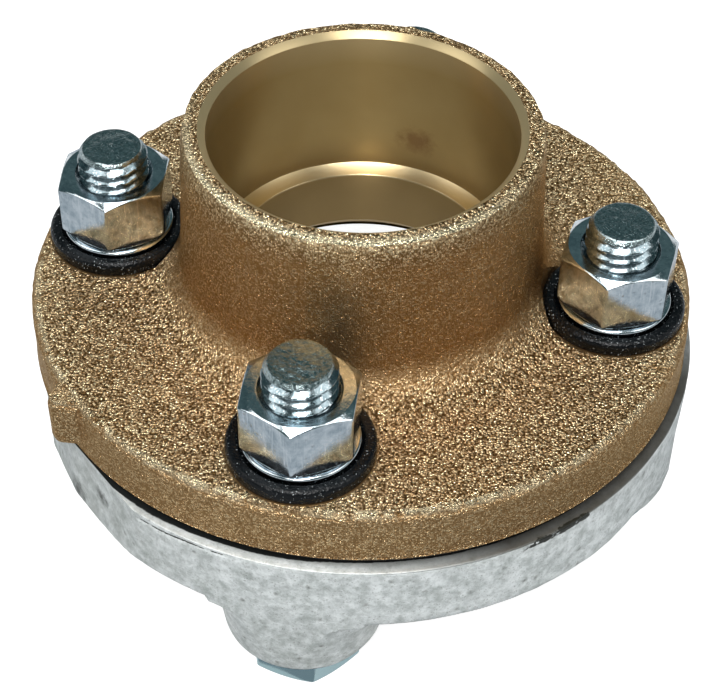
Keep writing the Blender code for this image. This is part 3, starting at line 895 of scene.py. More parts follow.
def iron_galvanised():
    """Zinc dip over cast iron: mottled pale grey, pitted, with bare metal and chips as marked."""
    material, tree, shader = new_material("galvanised iron")
    skin = cast_skin(tree, 1500.0, 1400.0, 0.6, 160.0)
    place, bare = tree.place(), tree.value("bare")
    mottle = tree.noise(place, 460.0, 6.0, 0.74)
    cloud = tree.blend(tree.spread(skin["Cloud"], 0.35, 0.65), (0.46, 0.50, 0.485), (0.76, 0.795, 0.79))
    dirt = tree.math("MAXIMUM", tree.times(specks(tree, 520.0, 0.10, 0.34), 0.9),
                     tree.times(specks(tree, 2100.0, 0.42, 0.40), 0.7))
    patchy = tree.spread(tree.noise(place, 240.0, 4.0, 0.65), 0.30, 0.66, 0.25, 1.0)
    # Painted shade: darker at the left and towards the bottom, in patches.
    grime = tree.times(tree.value("grime"), patchy)
    colour = tree.coats(
        (0.37, 0.405, 0.39),
        (tree.spread(mottle, 0.38, 0.62), (0.86, 0.895, 0.89)),
        (0.32, cloud),
        (dirt, (0.13, 0.135, 0.12)),
        (tree.times(grime, 0.6, clamp=True), (0.24, 0.25, 0.22)),
    )
    ragged = tree.spread(tree.noise(place, 700.0, 3.0, 0.6), 0.3, 0.7, -0.0012, 0.0012)
    for spot, reach in SMUDGES:
        away = tree.add("ShaderNodeVectorMath", {0: place, 1: spot}, operation="DISTANCE").outputs["Value"]
        soiled = tree.spread(tree.math("ADD", away, ragged), reach, 0.2 * reach, 0.0, 0.85)
        colour = tree.blend(soiled, colour, (0.045, 0.045, 0.035))
    darker = tree.times(tree.value("shaded"), tree.spread(mottle, 0.3, 0.7, 1.0, 0.8))
    seam = tree.math("ADD", tree.value("seam"), tree.spread(mottle, 0.3, 0.7, -0.12, 0.12))
    # Dark in the chips at the right and along the crease.
    flaked = tree.times(tree.noise(place, 1100.0, 4.0, 0.7), tree.value("chipped"))
    colour = tree.coats(
        colour,
        # Crest: zinc rubbed thin, with a painted highlight along it.
        (tree.times(tree.value("wear"), 0.28), (0.84, 0.87, 0.86)),
        (bare, tree.blend(darker, (0.32, 0.335, 0.33), (0.085, 0.082, 0.072))),
        # Painted shade along the joint beside the gasket and on undersides.
        (tree.spread(seam, 0.45, 0.6), (0.012, 0.014, 0.014)),
        (tree.spread(flaked, 0.52, 0.57), (0.02, 0.02, 0.014)),
    )
    height = tree.math("SUBTRACT", skin["Height"], tree.times(dirt, 0.5))
    height = tree.times(height, tree.math("SUBTRACT", 1.0, tree.times(bare, 0.9)))
    roughness = tree.between(bare, tree.spread(skin["Cloud"], 0.3, 0.7, 0.60, 0.46), 0.42)
    finish_with(tree, shader, colour, roughness, height, 0.00012, tree.between(bare, 0.25, 0.6))
    return material


def iron_turned():
    """Bare machined iron of the thread and the hub's end."""
    material, tree, shader = new_material("turned iron")
    marks = use_group(tree, "turned marks", {"Feed": 4200.0, "Chatter": 500.0})
    colour = tree.blend(tree.spread(marks["Band"], 0.3, 0.7), (0.95, 0.96, 0.96), (0.98, 0.99, 0.99))
    finish_with(tree, shader, colour, 0.16, marks["Height"], TURNED_DEPTH)
    return material


# %% [markdown]
# ## The iron casting
#
# A turned disc carries a threaded hub and four round bosses for the bolt heads.
# The bosses are thicker at their roots, so that the pattern leaves the sand,
# and are trimmed flush with the rim. The pipe thread is real relief: the bore's
# radius rises and falls along a line that climbs one pitch a turn.

# %% Pipe thread and iron profile
IRON_COLUMNS = 400
THREAD_ROWS = 60
THREAD_TOP = 22.0
PIPE_THREAD_DEPTH = 1.1
EDGE_ROUND, BACK_ROUND, HUB_ROUND = 0.5, 2.2, 4.0
BOSS_FLARE, BOSS_ROUND = 3.0, 2.4
DRAFT = 0.4


def sawtooth(phase):
    """A V with flat crest and root: 0 at the root, 1 at the crest, once per unit of phase."""
    fold = np.abs((phase % 1.0) * 2.0 - 1.0)
    return np.clip(fold * 1.25 - 0.125, 0.0, 1.0)


def pipe_bore(angles):
    """Radii and heights of the threaded bore, from its lower mouth up."""
    threaded = np.linspace(PIPE_HUB_LOW + 1.9, THREAD_TOP, THREAD_ROWS)
    heights = np.append(threaded, [IRON_FACE - 3.5, IRON_FACE - 0.1])[:, None]
    share = (heights - PIPE_HUB_LOW) / (IRON_FACE - PIPE_HUB_LOW)
    crest = PIPE_MOUTH + (PIPE_END - PIPE_MOUTH) * share
    phase = heights / PIPE_PITCH - angles / math.tau
    radii = crest + PIPE_THREAD_DEPTH * (1.0 - sawtooth(phase)) * ramp(THREAD_TOP - heights, 0.0, PIPE_PITCH)
    return np.broadcast_arrays(radii, heights + 0.0 * angles)


def iron_grid():
    """The turned disc and hub. Three flats dressed off the rim limit its radius.

    On a flat the radius is at most its distance over the cosine of the angle
    from its bearing.
    """
    angles = even_angles(IRON_COLUMNS)
    outside = np.vstack([
        [(radius, IRON_FACE) for radius in (PIPE_END + 3.4, 44.0, 56.0, 59.2, 60.0)],
        arc((IRON_RADIUS - EDGE_ROUND, IRON_FACE - EDGE_ROUND), EDGE_ROUND, 90, 5, 6),
        [(IRON_RADIUS - 0.03, IRON_FACE - drop) for drop in (0.8, 1.0, 1.2, 1.4, 1.6, 2.2)],
        arc((IRON_RADIUS - DRAFT - BACK_ROUND, IRON_BACK + BACK_ROUND), BACK_ROUND, 0, -90, 8),
        arc((PIPE_HUB_FOOT + HUB_ROUND, IRON_BACK - HUB_ROUND), HUB_ROUND, 90, 180, 10),
        [(PIPE_HUB, BOSS_LOW + 2.4), (PIPE_HUB, PIPE_HUB_LOW + 0.8), (PIPE_HUB - 0.8, PIPE_HUB_LOW),
         (PIPE_MOUTH + 1.9, PIPE_HUB_LOW), (PIPE_MOUTH + 0.3, PIPE_HUB_LOW + 1.6)],
    ])
    outside = finer(outside, 1.0)
    radii = outside[:, :1] + 0.0 * angles
    heights = outside[:, 1:] + 0.0 * angles
    for bearing in DRESSED_BEARINGS:
        gap = (angles - math.radians(bearing) + math.pi) % math.tau - math.pi
        limit = DRESSED_DISTANCE / np.maximum(np.cos(gap), 0.5)
        radii = np.where(radii > 50.0, np.minimum(radii, limit), radii)
    bore_radii, bore_heights = pipe_bore(angles)
    return turned(np.vstack([radii, bore_radii]), np.vstack([heights, bore_heights]), angles)


def boss_grid():
    """One boss about its own axis: flared at its root, rounded at its end."""
    flare, top = BOSS_ROOT + BOSS_FLARE, IRON_BACK + 7.7
    profile = np.vstack([
        [(0.0, top), (flare, top)],
        arc((flare, IRON_BACK + 0.2 - BOSS_FLARE), BOSS_FLARE, 90, 180, 8),
        arc((BOSS_RADIUS - BOSS_ROUND, BOSS_LOW + BOSS_ROUND), BOSS_ROUND, 0, -90, 8),
        [(0.0, BOSS_LOW)],
    ])
    return spun(finer(profile, 1.0), 110)


def trimmer():
    """A ring that keeps the bosses between the hub's wall and the rim."""
    outer, inner = IRON_RADIUS - 0.42, PIPE_HUB - 2.6
    profile = [(outer, IRON_FACE + 5), (outer, 0.0), (inner, 0.0), (inner, IRON_FACE + 5)]
    return grid_piece("trimmer", spun(profile, 180))


def make_iron():
    """Disc and hub, with the bosses joined and the bolt holes cut."""
    bosses = grid_piece("bosses", *at_bolts(boss_grid()), ring=False)
    weld(bosses)
    combine(bosses, trimmer(), "INTERSECT")
    weld(bosses)
    piece = grid_piece("iron_casting", iron_grid())
    combine(piece, bosses, "UNION")
    combine(piece, posts(IRON_HOLE, -5, IRON_FACE + 5, 72), "DIFFERENCE")
    weld(piece)
    return piece


iron = make_iron()
print("iron casting has", len(iron.data.polygons), "faces")

# %% [markdown]
# The zinc follows the sand's print more softly than the bronze does. Below the
# top edge, at the left of the front, the iron lapped over itself as it set and
# left a crease, dark along its line. The other marks are numbers at each point,
# as on the bronze: the rubbed crest with a painted highlight, the bare face with
# painted shade at the right, painted shade along the joint and on undersides,
# painted shade at the left and towards the bottom, and the chips at the right.

# %% Cast skin of the iron
CREASE_BEARING, SHADED_BEARING, JOINT_SHADE_BEARING = 240.0, 320.0, 215.0
LEFT_BEARING, RIGHT_BEARING = 205.0, 311.0


def crease_at(points):
    """The crease: a bell curve of height round a line that climbs to the right, broken by lumps."""
    line = IRON_FACE - 1.4 + 0.6 * ramp(bearing_gap(points, CREASE_BEARING), -8.0, 9.0)
    crease = np.exp(-((points[:, 2] - line) / 0.25) ** 2) * ramp(lumps(points, 3.0, 16), -0.5, 0.1)
    return crease * near_bearing(points, CREASE_BEARING, 8.0, 13.0) * ramp(axis_distance(points), 57.0, 58.0)


def roughen_iron(piece):
    """Moves the zinc's points and stores the numbers that its finish reads."""
    points, facing = places(piece), outward(piece)
    radius, z, up = axis_distance(points), points[:, 2], facing[:, 2]
    on_face = z > IRON_FACE - 0.12
    near_hole = bolt_distance(points) < IRON_HOLE + 0.5
    cast = np.where((radius < PIPE_MOUTH + 2.2) | on_face | near_hole, 0.0, 1.0)
    skin = hollows(points, (0.12, 9.0, 11), (0.06, 3.5, 12), (0.03, 1.6, 13))
    crease = crease_at(points)
    put(piece, points + facing * (cast * (skin - 0.3 * crease))[:, None])
    shaded = near_bearing(points, SHADED_BEARING, 25.0, 55.0)
    # Painted shade on the face next to the gasket, reaching further out at the left.
    joint_shade_edge = 59.0 + 1.1 * near_bearing(points, JOINT_SHADE_BEARING, 20.0, 55.0)
    # Painted shade on the undersides of the boss ends and the rim's lower edge.
    turned_under = ramp(-up, 0.10, 0.40) * ramp(up, -0.97, -0.85)
    low_edge = np.where(z < BOSS_LOW + 2.4, 1.0, ramp(radius, IRON_RADIUS - 3.0, IRON_RADIUS - 1.8))
    below = 0.52 * turned_under * low_edge * ramp(radius, PIPE_HUB + 1.0, PIPE_HUB + 2.0)
    right_side = near_bearing(points, RIGHT_BEARING, 20.0, 31.0)
    brink = ramp(z, IRON_FACE - 2.2, IRON_FACE - 1.0) * ramp(radius, IRON_RADIUS - 1.0, IRON_RADIUS - 0.6)
    flaking = brink * (0.2 + 1.25 * right_side * ramp(lumps(points, 4.5, 15), -0.1, 0.25))
    # Painted shade at the left and towards the bottom.
    grime = 0.75 * near_bearing(points, LEFT_BEARING, 15.0, 45.0) + 0.35 * fall(z, 14.0, 30.0)
    point_values(
        piece,
        # Crest: rubbed zinc and a painted highlight.
        wear=ramp(z, IRON_FACE - 1.4, IRON_FACE - 0.7) * ramp(lumps(points, 4.0, 14), -0.6, 0.5),
        bare=(0.25 + 0.75 * shaded) * ramp(z, IRON_FACE - 0.42, IRON_FACE - 0.15),
        shaded=shaded,
        seam=np.clip(on_face * ramp(joint_shade_edge - radius, -0.35, 0.35) + below, 0.0, 1.0),
        grime=np.clip(grime, 0.0, 1.0),
        # Dark chips at the right, and dark along the crease.
        chipped=np.maximum(flaking, 1.8 * crease),
    )


def iron_is_turned(centres):
    """True for the thread and the hub's end."""
    return axis_distance(centres) < PIPE_MOUTH + 2.2


roughen_iron(iron)
two_finishes(iron, iron_galvanised(), iron_turned(), iron_is_turned)
shade(iron, 38)
seat(iron, "iron_flange")

# %% [markdown]
# ## The gasket
#
# A ring punched from black sheet rubber. It shows only as a dark line, but the
# line isn't even: the rubber swells a little where the bolts squeeze it.

# %% Gasket
def gasket_rubber():
    """Matt black sheet with dust in its pores."""
    material, tree, shader = new_material("gasket rubber")
    skin = cast_skin(tree, 2500.0, 2000.0, 0.5, 120.0)
    colour = tree.blend(tree.spread(skin["Cloud"], 0.45, 0.7), (0.012, 0.012, 0.013), (0.045, 0.045, 0.047))
    finish_with(tree, shader, colour, 0.72, skin["Height"], 0.00005, metallic=0.0)
    return material


def make_gasket():
    """A flat ring with bulging edges: each edge is half a superellipse."""
    middle, half = (GASKET_LOW + GASKET_HIGH) / 2, (GASKET_HIGH - GASKET_LOW) / 2
    outer_edge = arc((0.0, 0.0), 1.0, 70, -70, 7)
    inner_edge = arc((0.0, 0.0), 1.0, 250, 110, 7)
    profile = np.vstack([
        [(GASKET_OUTER - 0.5, middle + half)],
        outer_edge * (0.25, half) + (GASKET_OUTER - 0.25, middle),
        [(GASKET_OUTER - 0.5, middle - half)],
        [(GASKET_INNER + 0.5, middle - half)],
        inner_edge * (0.25, half) + (GASKET_INNER + 0.25, middle),
        [(GASKET_INNER + 0.5, middle + half)],
    ])
    piece = grid_piece("joint_gasket", spun(finer(profile, 3.0, closed=True), 300))
    combine(piece, posts(BRONZE_HOLE, GASKET_LOW - 5, GASKET_HIGH + 5, 64), "DIFFERENCE")
    points = places(piece)
    outer = ramp(axis_distance(points), GASKET_OUTER - 0.6, GASKET_OUTER)
    swell = 1.0 + 0.0022 * (lumps(points, 14.0, 21) - 1.0) * outer
    put(piece, points * np.column_stack([swell, swell, np.ones(len(points))]))
    return piece


gasket = make_gasket()
gasket.data.materials.append(gasket_rubber())
shade(gasket, 35)
seat(gasket, "gasket")

# %% [markdown]
# ## Zinc plate
#
# Bolts, nuts and washers are bright zinc with a bluish passivation. The plate
# is shiny but a little cloudy, with fine rub marks. A bolt's head is darker and
# its end is raw, and numbers at its points mark them. A piece that stores no
# such number reads as 0.

# %% Zinc plate
def zinc_plate(name, dark, light, smooth, rough):
    """Bluish plated steel. Clouds shift its colour and gloss, upright rubs and the raw tip its bump."""
    material, tree, shader = new_material(name)
    place, head, raw = tree.place(), tree.value("head"), tree.value("raw")
    cloud = tree.noise(place, 420.0, 4.0, 0.65)
    drawn = tree.add("ShaderNodeMapping", {0: place, 3: (1.0, 1.0, 0.06)}).outputs[0]
    rub = tree.times(tree.noise(drawn, 2400.0, 3.0, 0.6), tree.math("SUBTRACT", 1.0, tree.times(head, 0.45)))
    dents = tree.spread(tree.noise(place, 1300.0, 5.0, 0.7), 0.44, 0.62)
    scars = tree.spread(tree.noise(place, 2300.0, 4.0, 0.7), 0.40, 0.64)
    pits = specks(tree, 1000.0, 0.22, 0.34)
    colour = tree.coats(
        dark,
        (tree.spread(cloud, 0.35, 0.65), light),
        (tree.spread(rub, 0.55, 0.75), (0.86, 0.89, 0.91)),
        (tree.times(pits, 0.45), (0.10, 0.12, 0.13)),
        (head, (0.235, 0.34, 0.365)),
        (raw, tree.blend(scars, (0.30, 0.37, 0.375), (0.56, 0.64, 0.65))),
    )
    roughness = tree.between(raw, tree.spread(cloud, 0.3, 0.7, smooth, rough), 0.19)
    relief = tree.math("ADD", tree.times(rub, 0.35), tree.times(pits, -0.6))
    height = tree.between(tree.spread(raw, 0.0, 1.0, 0.12, 1.0), relief, tree.times(dents, 0.9))
    finish_with(tree, shader, colour, roughness, height, 0.00003)
    return material


zinc = zinc_plate("zinc plate", (0.44, 0.51, 0.55), (0.76, 0.81, 0.84), 0.05, 0.13)
zinc_thread = zinc_plate("zinc plated thread", (0.17, 0.225, 0.245), (0.34, 0.40, 0.42), 0.11, 0.19)
print("zinc finishes:", zinc.name, "and", zinc_thread.name)

# %% [markdown]
# ## Hexagons and threads
#
# A hexagon's radius in a direction is the least of six distances, one to each
# flat. A plain minimum gives knife edges, so a soft minimum is used instead,
# which rounds the corners as forging does. The same soft minimum joins the
# flats to the turned chamfer, and draws the curved edges that every nut has.

# %% Soft hexagon
SIDE_COLUMNS = 26
SOFTNESS = 0.055
CORNER_POWER = 90.0
EDGE_STEPS = [0.0, 0.03, 0.08, 0.14, 0.2, 0.27, 0.34, 0.42, 0.5, 0.58, 0.66, 0.75, 0.85, 1.0, 1.2]
PLAIN_STEPS = [0.0, 0.3, 1.2]


def soft_least(a, b):
    """About the smaller of a and b, with a round of SOFTNESS where they meet."""
    gap = a - b
    return (a + b - np.sqrt(gap * gap + SOFTNESS * SOFTNESS * 4)) / 2


def flat_middles(turn):
    """The directions of the six flats."""
    return np.radians(turn + 30.0 + 60.0 * np.arange(6))


def hex_angles(turn):
    """Angles round a hexagon, closer together towards its corners."""
    t = np.linspace(-1, 1, SIDE_COLUMNS, endpoint=False)
    side = np.radians(30.0) * np.sin(t * math.pi / 2)
    return (flat_middles(turn)[:, None] + side).ravel()


def hex_radii(angles, turn):
    """Distance to the nearest flat, with corners rounded by a power mean."""
    near = np.maximum(np.cos(angles[:, None] - flat_middles(turn)), 1e-6)
    return HEX_HALF / np.sum(near ** CORNER_POWER, axis=1) ** (1.0 / CORNER_POWER)


def hex_side(heights, angles, turn, top, bottom):
    """Outer radii at each height: the hexagon limited by a cone at one end or both."""
    radii = hex_radii(angles, turn) + 0.0 * heights
    if top is not None:
        radii = soft_least(radii, HEX_FACE + (top - heights) / HEX_SLOPE)
    if bottom is not None:
        radii = soft_least(radii, HEX_FACE + (heights - bottom) / HEX_SLOPE)
    return radii


def side_heights(bottom, top, fine_bottom, fine_top):
    """Heights up a side, close together where a chamfer meets the flats."""
    low = bottom + np.array(EDGE_STEPS if fine_bottom else PLAIN_STEPS)
    high = top - np.array(EDGE_STEPS if fine_top else PLAIN_STEPS)[::-1]
    middle = np.linspace(low[-1], high[0], 5)[1:-1]
    return np.concatenate([low, middle, high])[:, None]


# %% Thread
def thread_radii(heights, angles, start):
    """Radius of a bolt thread: the sawtooth, once per pitch and turn, fading out at its start."""
    phase = heights / THREAD_PITCH - angles / math.tau + 0.5
    depth = THREAD_DEPTH * (1.0 - sawtooth(phase))
    return THREAD_RADIUS - depth * ramp(heights, start, start + THREAD_PITCH)


# %% [markdown]
# Bolts, nuts, washers and bushings come in fours. One helper makes each set: it
# moves a grid to every bolt, lets each piece take its own marks, and says which
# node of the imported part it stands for.

# %% One piece at each bolt
def one_at_each_bolt(title, slot, material, angle, grid_of, mark=None, ring=True):
    """Four pieces from the grids of grid_of(number), marked, finished, shaded and seated."""
    for number, (x, y) in enumerate(BOLT_PLACES):
        piece = grid_piece(title.format(number + 1), grid_of(number) + np.array([x, y, 0.0]), ring=ring)
        if not ring:
            weld(piece)
        if mark:
            mark(piece, number)
        piece.data.materials.append(material)
        shade(piece, angle)
        seat(piece, f"{slot}_{number + 1}")


print("a hexagon has", len(hex_angles(HEAD_TURN)), "columns")

# %% [markdown]
# ## Bolts
#
# Each bolt is one closed grid, from the middle of its head to the middle of its
# tip. The head points down and carries the union. The tip is chamfered where
# the thread starts, and its end keeps the slightly domed, scarred face of
# sheared bar.

# %% Bolts
THREAD_START = 39.6
THREAD_STEP = 0.13
TIP_CHAMFER = 1.15
TIP_SLOPE = 0.72
TIP_DOMES = [0.30, 0.24, 0.30, 0.42]
TIP_HEIGHTS = [BOLT_TIP, BOLT_TIP, BOLT_TIP - 1.2, BOLT_TIP]


def tip_face(angles, radius, dome, top, seed):
    """Rows across the bolt's end, from its edge to its middle, domed and scarred."""
    share = np.linspace(0.95, 0.0, 18)[:, None]
    radii = radius * share + 0.0 * angles
    points = turned(radii, top, angles).reshape(-1, 3)
    scar = (lumps(points, 1.5, seed) + 0.6 * lumps(points, 0.7, seed + 9)).reshape(radii.shape) - 1.6
    fade = np.minimum(1.0, (1.0 - share) * 5) * np.minimum(1.0, share * 8)
    heights = top - dome * share ** 2 + 0.075 * scar * fade
    return radii, np.minimum(heights, top)


def bolt_grid(number):
    """Rows: head's face, head's side, seat under the head, shank, thread, tip."""
    angles = hex_angles(HEAD_TURN)
    flat = angles * 0.0
    face = np.linspace(0.0, 1.0, 6)[:, None] * (HEX_FACE - 0.05)
    sides = side_heights(0.0, HEAD_HIGH, True, False)
    side_radii = hex_side(sides, angles, HEAD_TURN, None, 0.0)
    last = side_radii[-1:]
    under = np.array([0.985, 0.9, 0.8])[:, None]
    shank = np.array([HEAD_HIGH, HEAD_HIGH + 0.3, 15.0, 25.0, THREAD_START - 1.0])[:, None]
    fillet = np.array([0.3, 0.0, 0.0, 0.0, 0.0])[:, None]
    dome, top = TIP_DOMES[number], TIP_HEIGHTS[number]
    edge = top - dome
    thread = np.arange(THREAD_START, edge - 0.02, THREAD_STEP)[:, None]
    tip_limit = THREAD_RADIUS - TIP_CHAMFER + TIP_SLOPE * (edge - thread)
    thread_rows = np.minimum(thread_radii(thread, angles, THREAD_START), tip_limit)
    tip_radii, tip_heights = tip_face(angles, thread_rows[-1:].min(), dome, top, 40 + number)
    radii = np.vstack([face + flat, side_radii, last * under, THREAD_RADIUS + fillet + flat,
                       thread_rows, tip_radii])
    heights = np.vstack([face * 0.0 + flat, sides + flat, HEAD_HIGH + under * 0.0 + flat, shank + flat,
                         thread + flat, tip_heights])
    return turned(radii, heights, angles)


def mark_bolt(piece, number):
    """Marks the head, and the raw end of the tip."""
    points, top = places(piece), TIP_HEIGHTS[number]
    from_axis = np.hypot(*(points[:, :2] - BOLT_PLACES[number]).T)
    point_values(
        piece,
        head=fall(points[:, 2], HEAD_HIGH + 0.1, HEAD_HIGH + 0.2),
        raw=ramp(points[:, 2], top - 1.7, top - 0.9) * fall(from_axis, 5.8, 6.25),
    )


one_at_each_bolt("hex_bolt_{}", "bolt", zinc_thread, 40, bolt_grid, mark_bolt, ring=False)

# %% [markdown]
# ## Nuts
#
# A nut is a ring: up its threaded hole, over the countersunk mouth and the top
# face, down the flats and back underneath.

# %% Nuts
NUT_THREAD_ROWS = 60


def nut_grid(number):
    """Closed rows round the nut's section. The spanner stopped each nut at its own angle."""
    turn = NUT_TURNS[number]
    angles = hex_angles(turn)
    flat = angles * 0.0
    thread = np.linspace(NUT_LOW + 0.9, NUT_HIGH - 0.9, NUT_THREAD_ROWS)[:, None]
    phase = thread / THREAD_PITCH - angles / math.tau
    thread_rows = SLEEVE_BORE - 0.1 - (THREAD_DEPTH - 0.15) * (1.0 - sawtooth(phase))
    across = np.array([6.72, 6.98, 7.02, 7.08, 7.6, 8.2, 8.8, HEX_FACE - 0.06])[:, None]
    rise = np.array([-0.35, -0.05, -0.02, 0.0, 0.0, 0.0, 0.0, 0.0])[:, None]
    sides = side_heights(NUT_LOW, NUT_HIGH, True, True)[::-1]
    side_radii = hex_side(sides, angles, turn, NUT_HIGH, NUT_LOW)
    radii = np.vstack([thread_rows, across + flat, side_radii, across[::-1] + flat])
    heights = np.vstack([thread + flat, NUT_HIGH + rise + flat, sides + flat, NUT_LOW - rise[::-1] + flat])
    return turned(radii, heights, angles)


def mark_nut(piece, number):
    """Makes the top face a little raw."""
    point_values(piece, raw=0.12 * ramp(places(piece)[:, 2], NUT_HIGH - 0.25, NUT_HIGH - 0.05))


one_at_each_bolt("hex_nut_{}", "nut", zinc, 34, nut_grid, mark_nut)

# %% [markdown]
# ## Washers
#
# Punching rounds one edge of a washer and leaves the other sharp. The rounded
# side faces up, and shows as a bright ring under the nut.

# %% Washers
TOP_EDGE, LOW_EDGE, BORE_EDGE = 0.5, 0.12, 0.3


def washer_grid(number):
    """A turned ring with a large round above and a small one below."""
    top, low, outer, inner = WASHER_HIGH, WASHER_LOW, WASHER_RADIUS, SLEEVE_BORE
    profile = np.vstack([
        arc((outer - TOP_EDGE, top - TOP_EDGE), TOP_EDGE, 90, 0, 7),
        arc((outer - LOW_EDGE, low + LOW_EDGE), LOW_EDGE, 0, -90, 3),
        arc((inner + LOW_EDGE, low + LOW_EDGE), LOW_EDGE, -90, -180, 3),
        arc((inner + BORE_EDGE, top - BORE_EDGE), BORE_EDGE, 180, 90, 4),
    ])
    return spun(finer(profile, 0.6, closed=True), 120)


one_at_each_bolt("flat_washer_{}", "washer", zinc, 40, washer_grid)

# %% [markdown]
# ## Bushings
#
# The bushings are moulded of black nylon. Each is a dished collar with a
# rounded rim, on a sleeve that lines the bolt hole. The rim is glossy, and is
# peppered with small marks from the mould and from tightening.

# %% Bushings
def black_nylon():
    """Glossy black moulding with a pebbled skin and patches of dust."""
    material, tree, shader = new_material("black nylon")
    skin = cast_skin(tree, 2500.0, 1900.0, 0.4, 200.0)
    patches = tree.spread(tree.noise(tree.place(), 260.0, 3.0), 0.42, 0.62, 0.25, 1.0)
    colour = tree.coats(
        (0.001, 0.0015, 0.002),
        (tree.spread(skin["Cloud"], 0.4, 0.7), (0.004, 0.005, 0.006)),
        (tree.times(specks(tree, 3000.0, 0.18, 0.38), patches), (0.60, 0.65, 0.66)),
    )
    roughness = tree.spread(skin["Tone"], 0.0, 1.0, 0.20, 0.10)
    finish_with(tree, shader, colour, roughness, skin["Height"], 0.00018, metallic=0.0)
    shader.inputs["Specular IOR Level"].default_value = 0.2
    return material


def bushing_grid(number):
    """Closed section: rim, collar, sleeve, bore and the floor of the dish."""
    rim = 0.95
    profile = np.vstack([
        arc((BUSHING_RADIUS - rim, BUSHING_RIM - rim), rim, 90, 0, 9),
        [(BUSHING_RADIUS, BUSHING_LOW + 0.2), (BUSHING_RADIUS - 0.2, BUSHING_LOW),
         (SLEEVE_RADIUS, BUSHING_LOW), (SLEEVE_RADIUS, SLEEVE_FOOT + 0.3),
         (SLEEVE_RADIUS - 0.3, SLEEVE_FOOT), (SLEEVE_BORE + 0.2, SLEEVE_FOOT),
         (SLEEVE_BORE, SLEEVE_FOOT + 0.2), (SLEEVE_BORE, BUSHING_FLOOR),
         (BUSHING_RECESS - 0.3, BUSHING_FLOOR), (BUSHING_RECESS, BUSHING_FLOOR + 0.3)],
        arc((BUSHING_RECESS + 0.5, BUSHING_RIM - 0.5), 0.5, 180, 90, 5),
    ])
    return spun(finer(profile, 0.5, closed=True), 160)


def dent_bushing(piece, number):
    """Moves small hollows into the skin of the rim."""
    points, facing = places(piece), outward(piece)
    on_rim = ramp(points[:, 2], BUSHING_FLOOR + 0.2, BUSHING_FLOOR + 0.6)
    dents = hollows(points, (0.035, 1.1, 60 + number), (0.03, 4.0, 70 + number))
    put(piece, points + facing * (on_rim * dents)[:, None])


one_at_each_bolt("bushing_{}_nylon", "bushing", black_nylon(), 45, bushing_grid, dent_bushing)

# %% [markdown]
# ## Studio
#
# The photograph has a pure white background and keeps almost no shadow. Camera
# and mirror rays see the world and the floor as white, while the light that
# falls on the object is plain grey.

# %% Floor and world
FLOOR_HALF, FLOOR_HEIGHT = 900.0, -0.1
FLOOR_GLOW, WORLD_LIGHT = 0.86, 0.40


def seen_directly(tree):
    """1 for camera, glossy and transmission rays, and 0 for the rest."""
    path = tree.add("ShaderNodeLightPath").outputs
    seen = tree.math("MAXIMUM", path["Is Camera Ray"], path["Is Glossy Ray"])
    return tree.math("MAXIMUM", seen, path["Is Transmission Ray"])


def make_floor():
    """A pale sheet that takes the shadow, and glows for camera and mirror rays."""
    square = [(-1, -1), (1, -1), (1, 1), (-1, 1)]
    corners = np.array([(x * FLOOR_HALF, y * FLOOR_HALF, FLOOR_HEIGHT) for x, y in square])
    floor = new_piece("floor", corners, np.array([[0, 1, 2, 3]]))
    material, tree, shader = new_material("white floor")
    finish_with(tree, shader, (0.35, 0.35, 0.35, 1), 0.9, metallic=0.0)
    glow = tree.times(seen_directly(tree), FLOOR_GLOW)
    tree.fill(shader.inputs, {"Emission Color": (1, 1, 1, 1), "Emission Strength": glow})
    floor.data.materials.append(material)


def make_world():
    """White for camera, glossy and transmission rays, plain grey light for the rest."""
    world = bpy.data.worlds.new("studio")
    bpy.context.scene.world = world
    world.use_nodes = True
    world.node_tree.nodes.clear()
    tree = Tree(world.node_tree)
    strength = tree.between(seen_directly(tree), WORLD_LIGHT, 1.0)
    background = tree.add("ShaderNodeBackground", {"Color": (1, 1, 1, 1), "Strength": strength})
    tree.add("ShaderNodeOutputWorld", {0: background.outputs[0]})


make_floor()
make_world()
print("floor and world made")

# %% [markdown]
# Polished metal needs something dark to reflect, or it looks like white
# plastic. A photographer hangs dark cloth round the object, with openings for
# the lamps and the lens. Here the cloth is a dome and an apron on the table.
# Only mirror rays see them, so they take no light from the object, and the
# white background still shows below the dome's hem.

# %% Cloth
def glowing_cloth(name, tint):
    """Matt cloth of an even tint, whatever light falls on it."""
    material, tree, shader = new_material(name)
    finish_with(tree, shader, (0, 0, 0, 1), 1.0, metallic=0.0)
    tree.fill(shader.inputs, {
        "Specular IOR Level": 0.0,
        "Emission Color": (*tint, 1),
        "Emission Strength": 1.0,
    })
    return material


def hang_cloth(name, profile, tint):
    """Cloth of turned shape, seen by mirror rays only."""
    cloth = grid_piece(name, spun(profile, 48), ring=False)
    cloth.data.materials.append(glowing_cloth(name, tint))
    cloth.visible_camera = cloth.visible_diffuse = False
    cloth.visible_shadow = cloth.visible_transmission = False
    print(name, "has", len(cloth.data.polygons), "faces")


DOME_RADIUS, HEM = 1800.0, 9.0
APRON_INNER, APRON_OUTER, APRON_HEIGHT = 56.5, 800.0, -0.05

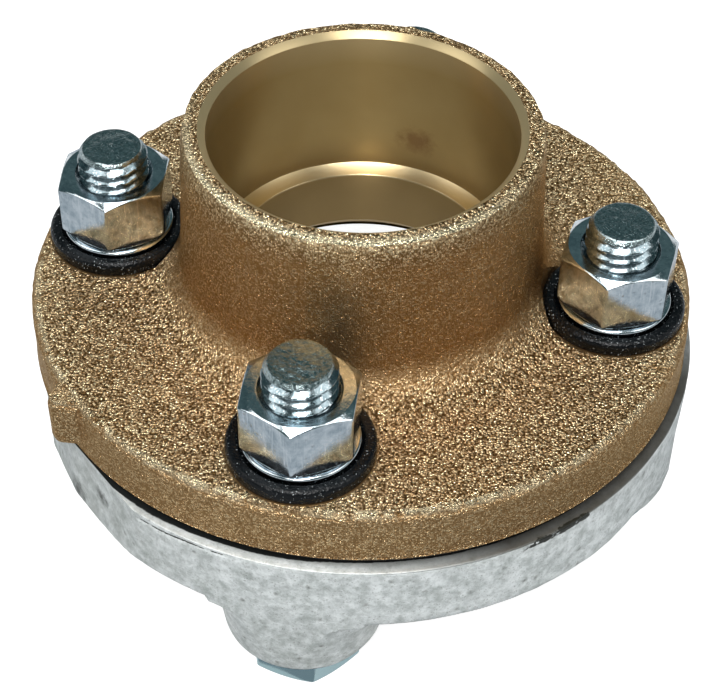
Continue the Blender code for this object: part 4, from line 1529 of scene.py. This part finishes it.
hang_cloth("dark_dome", arc((0.0, 0.0), DOME_RADIUS, HEM, 89.9, 16), (0.068, 0.112, 0.118))
apron = [(APRON_INNER, APRON_HEIGHT), (APRON_OUTER, APRON_HEIGHT)]
hang_cloth("grey_apron", apron, (0.51, 0.555, 0.595))

# %% [markdown]
# The bore acts as a mirror that shows where the lamps stood. Its three bright
# bands give one lamp in front and above, one at the left and one at the right.
# A small flash near the lens adds the hard glints on the zinc.

# %% Lamps
def direction(bearing, elevation):
    """Unit vector from the union towards a bearing and a height in degrees."""
    b, e = math.radians(bearing), math.radians(elevation)
    return np.array([math.cos(b) * math.cos(e), math.sin(b) * math.cos(e), math.sin(e)])


def facing_matrix(place, target):
    """A matrix that stands at place with its -Z axis towards the target."""
    back = (place - target) / np.linalg.norm(place - target)
    side = np.cross([0.0, 0.0, 1.0], back)
    side = side / np.linalg.norm(side)
    matrix = np.eye(4)
    matrix[:3, 0], matrix[:3, 1], matrix[:3, 2] = side, np.cross(back, side), back
    matrix[:3, 3] = place
    return Matrix(matrix.tolist())


def add_lamp(name, bearing, elevation, distance, width, height, watts):
    """A soft rectangular lamp aimed at the middle of the union. Distances in metres."""
    target = np.array([0.0, 0.0, 0.045])
    data = bpy.data.lights.new(name, "AREA")
    data.shape, data.size, data.size_y, data.energy = "RECTANGLE", width, height, watts
    lamp = bpy.data.objects.new(name, data)
    lamp.matrix_world = facing_matrix(target + direction(bearing, elevation) * distance, target)
    bpy.context.scene.collection.objects.link(lamp)
    print(name, "stands", distance, "m away and gives", watts, "W")


add_lamp("front_softbox", 264, 68, 0.95, 0.42, 0.84, 8.0)
add_lamp("left_softbox", 187, 50, 1.0, 0.50, 0.60, 2.4)
add_lamp("right_softbox", 343, 50, 1.0, 0.50, 0.60, 2.2)
add_lamp("flash", 264, 48, 0.9, 0.13, 0.13, 2.4)

# %% [markdown]
# ## Finish
#
# The view transform is Standard, so that a colour renders about as written.

# %% Finish
bpy.context.scene.view_settings.view_transform = "Standard"
bpy.context.view_layer.update()
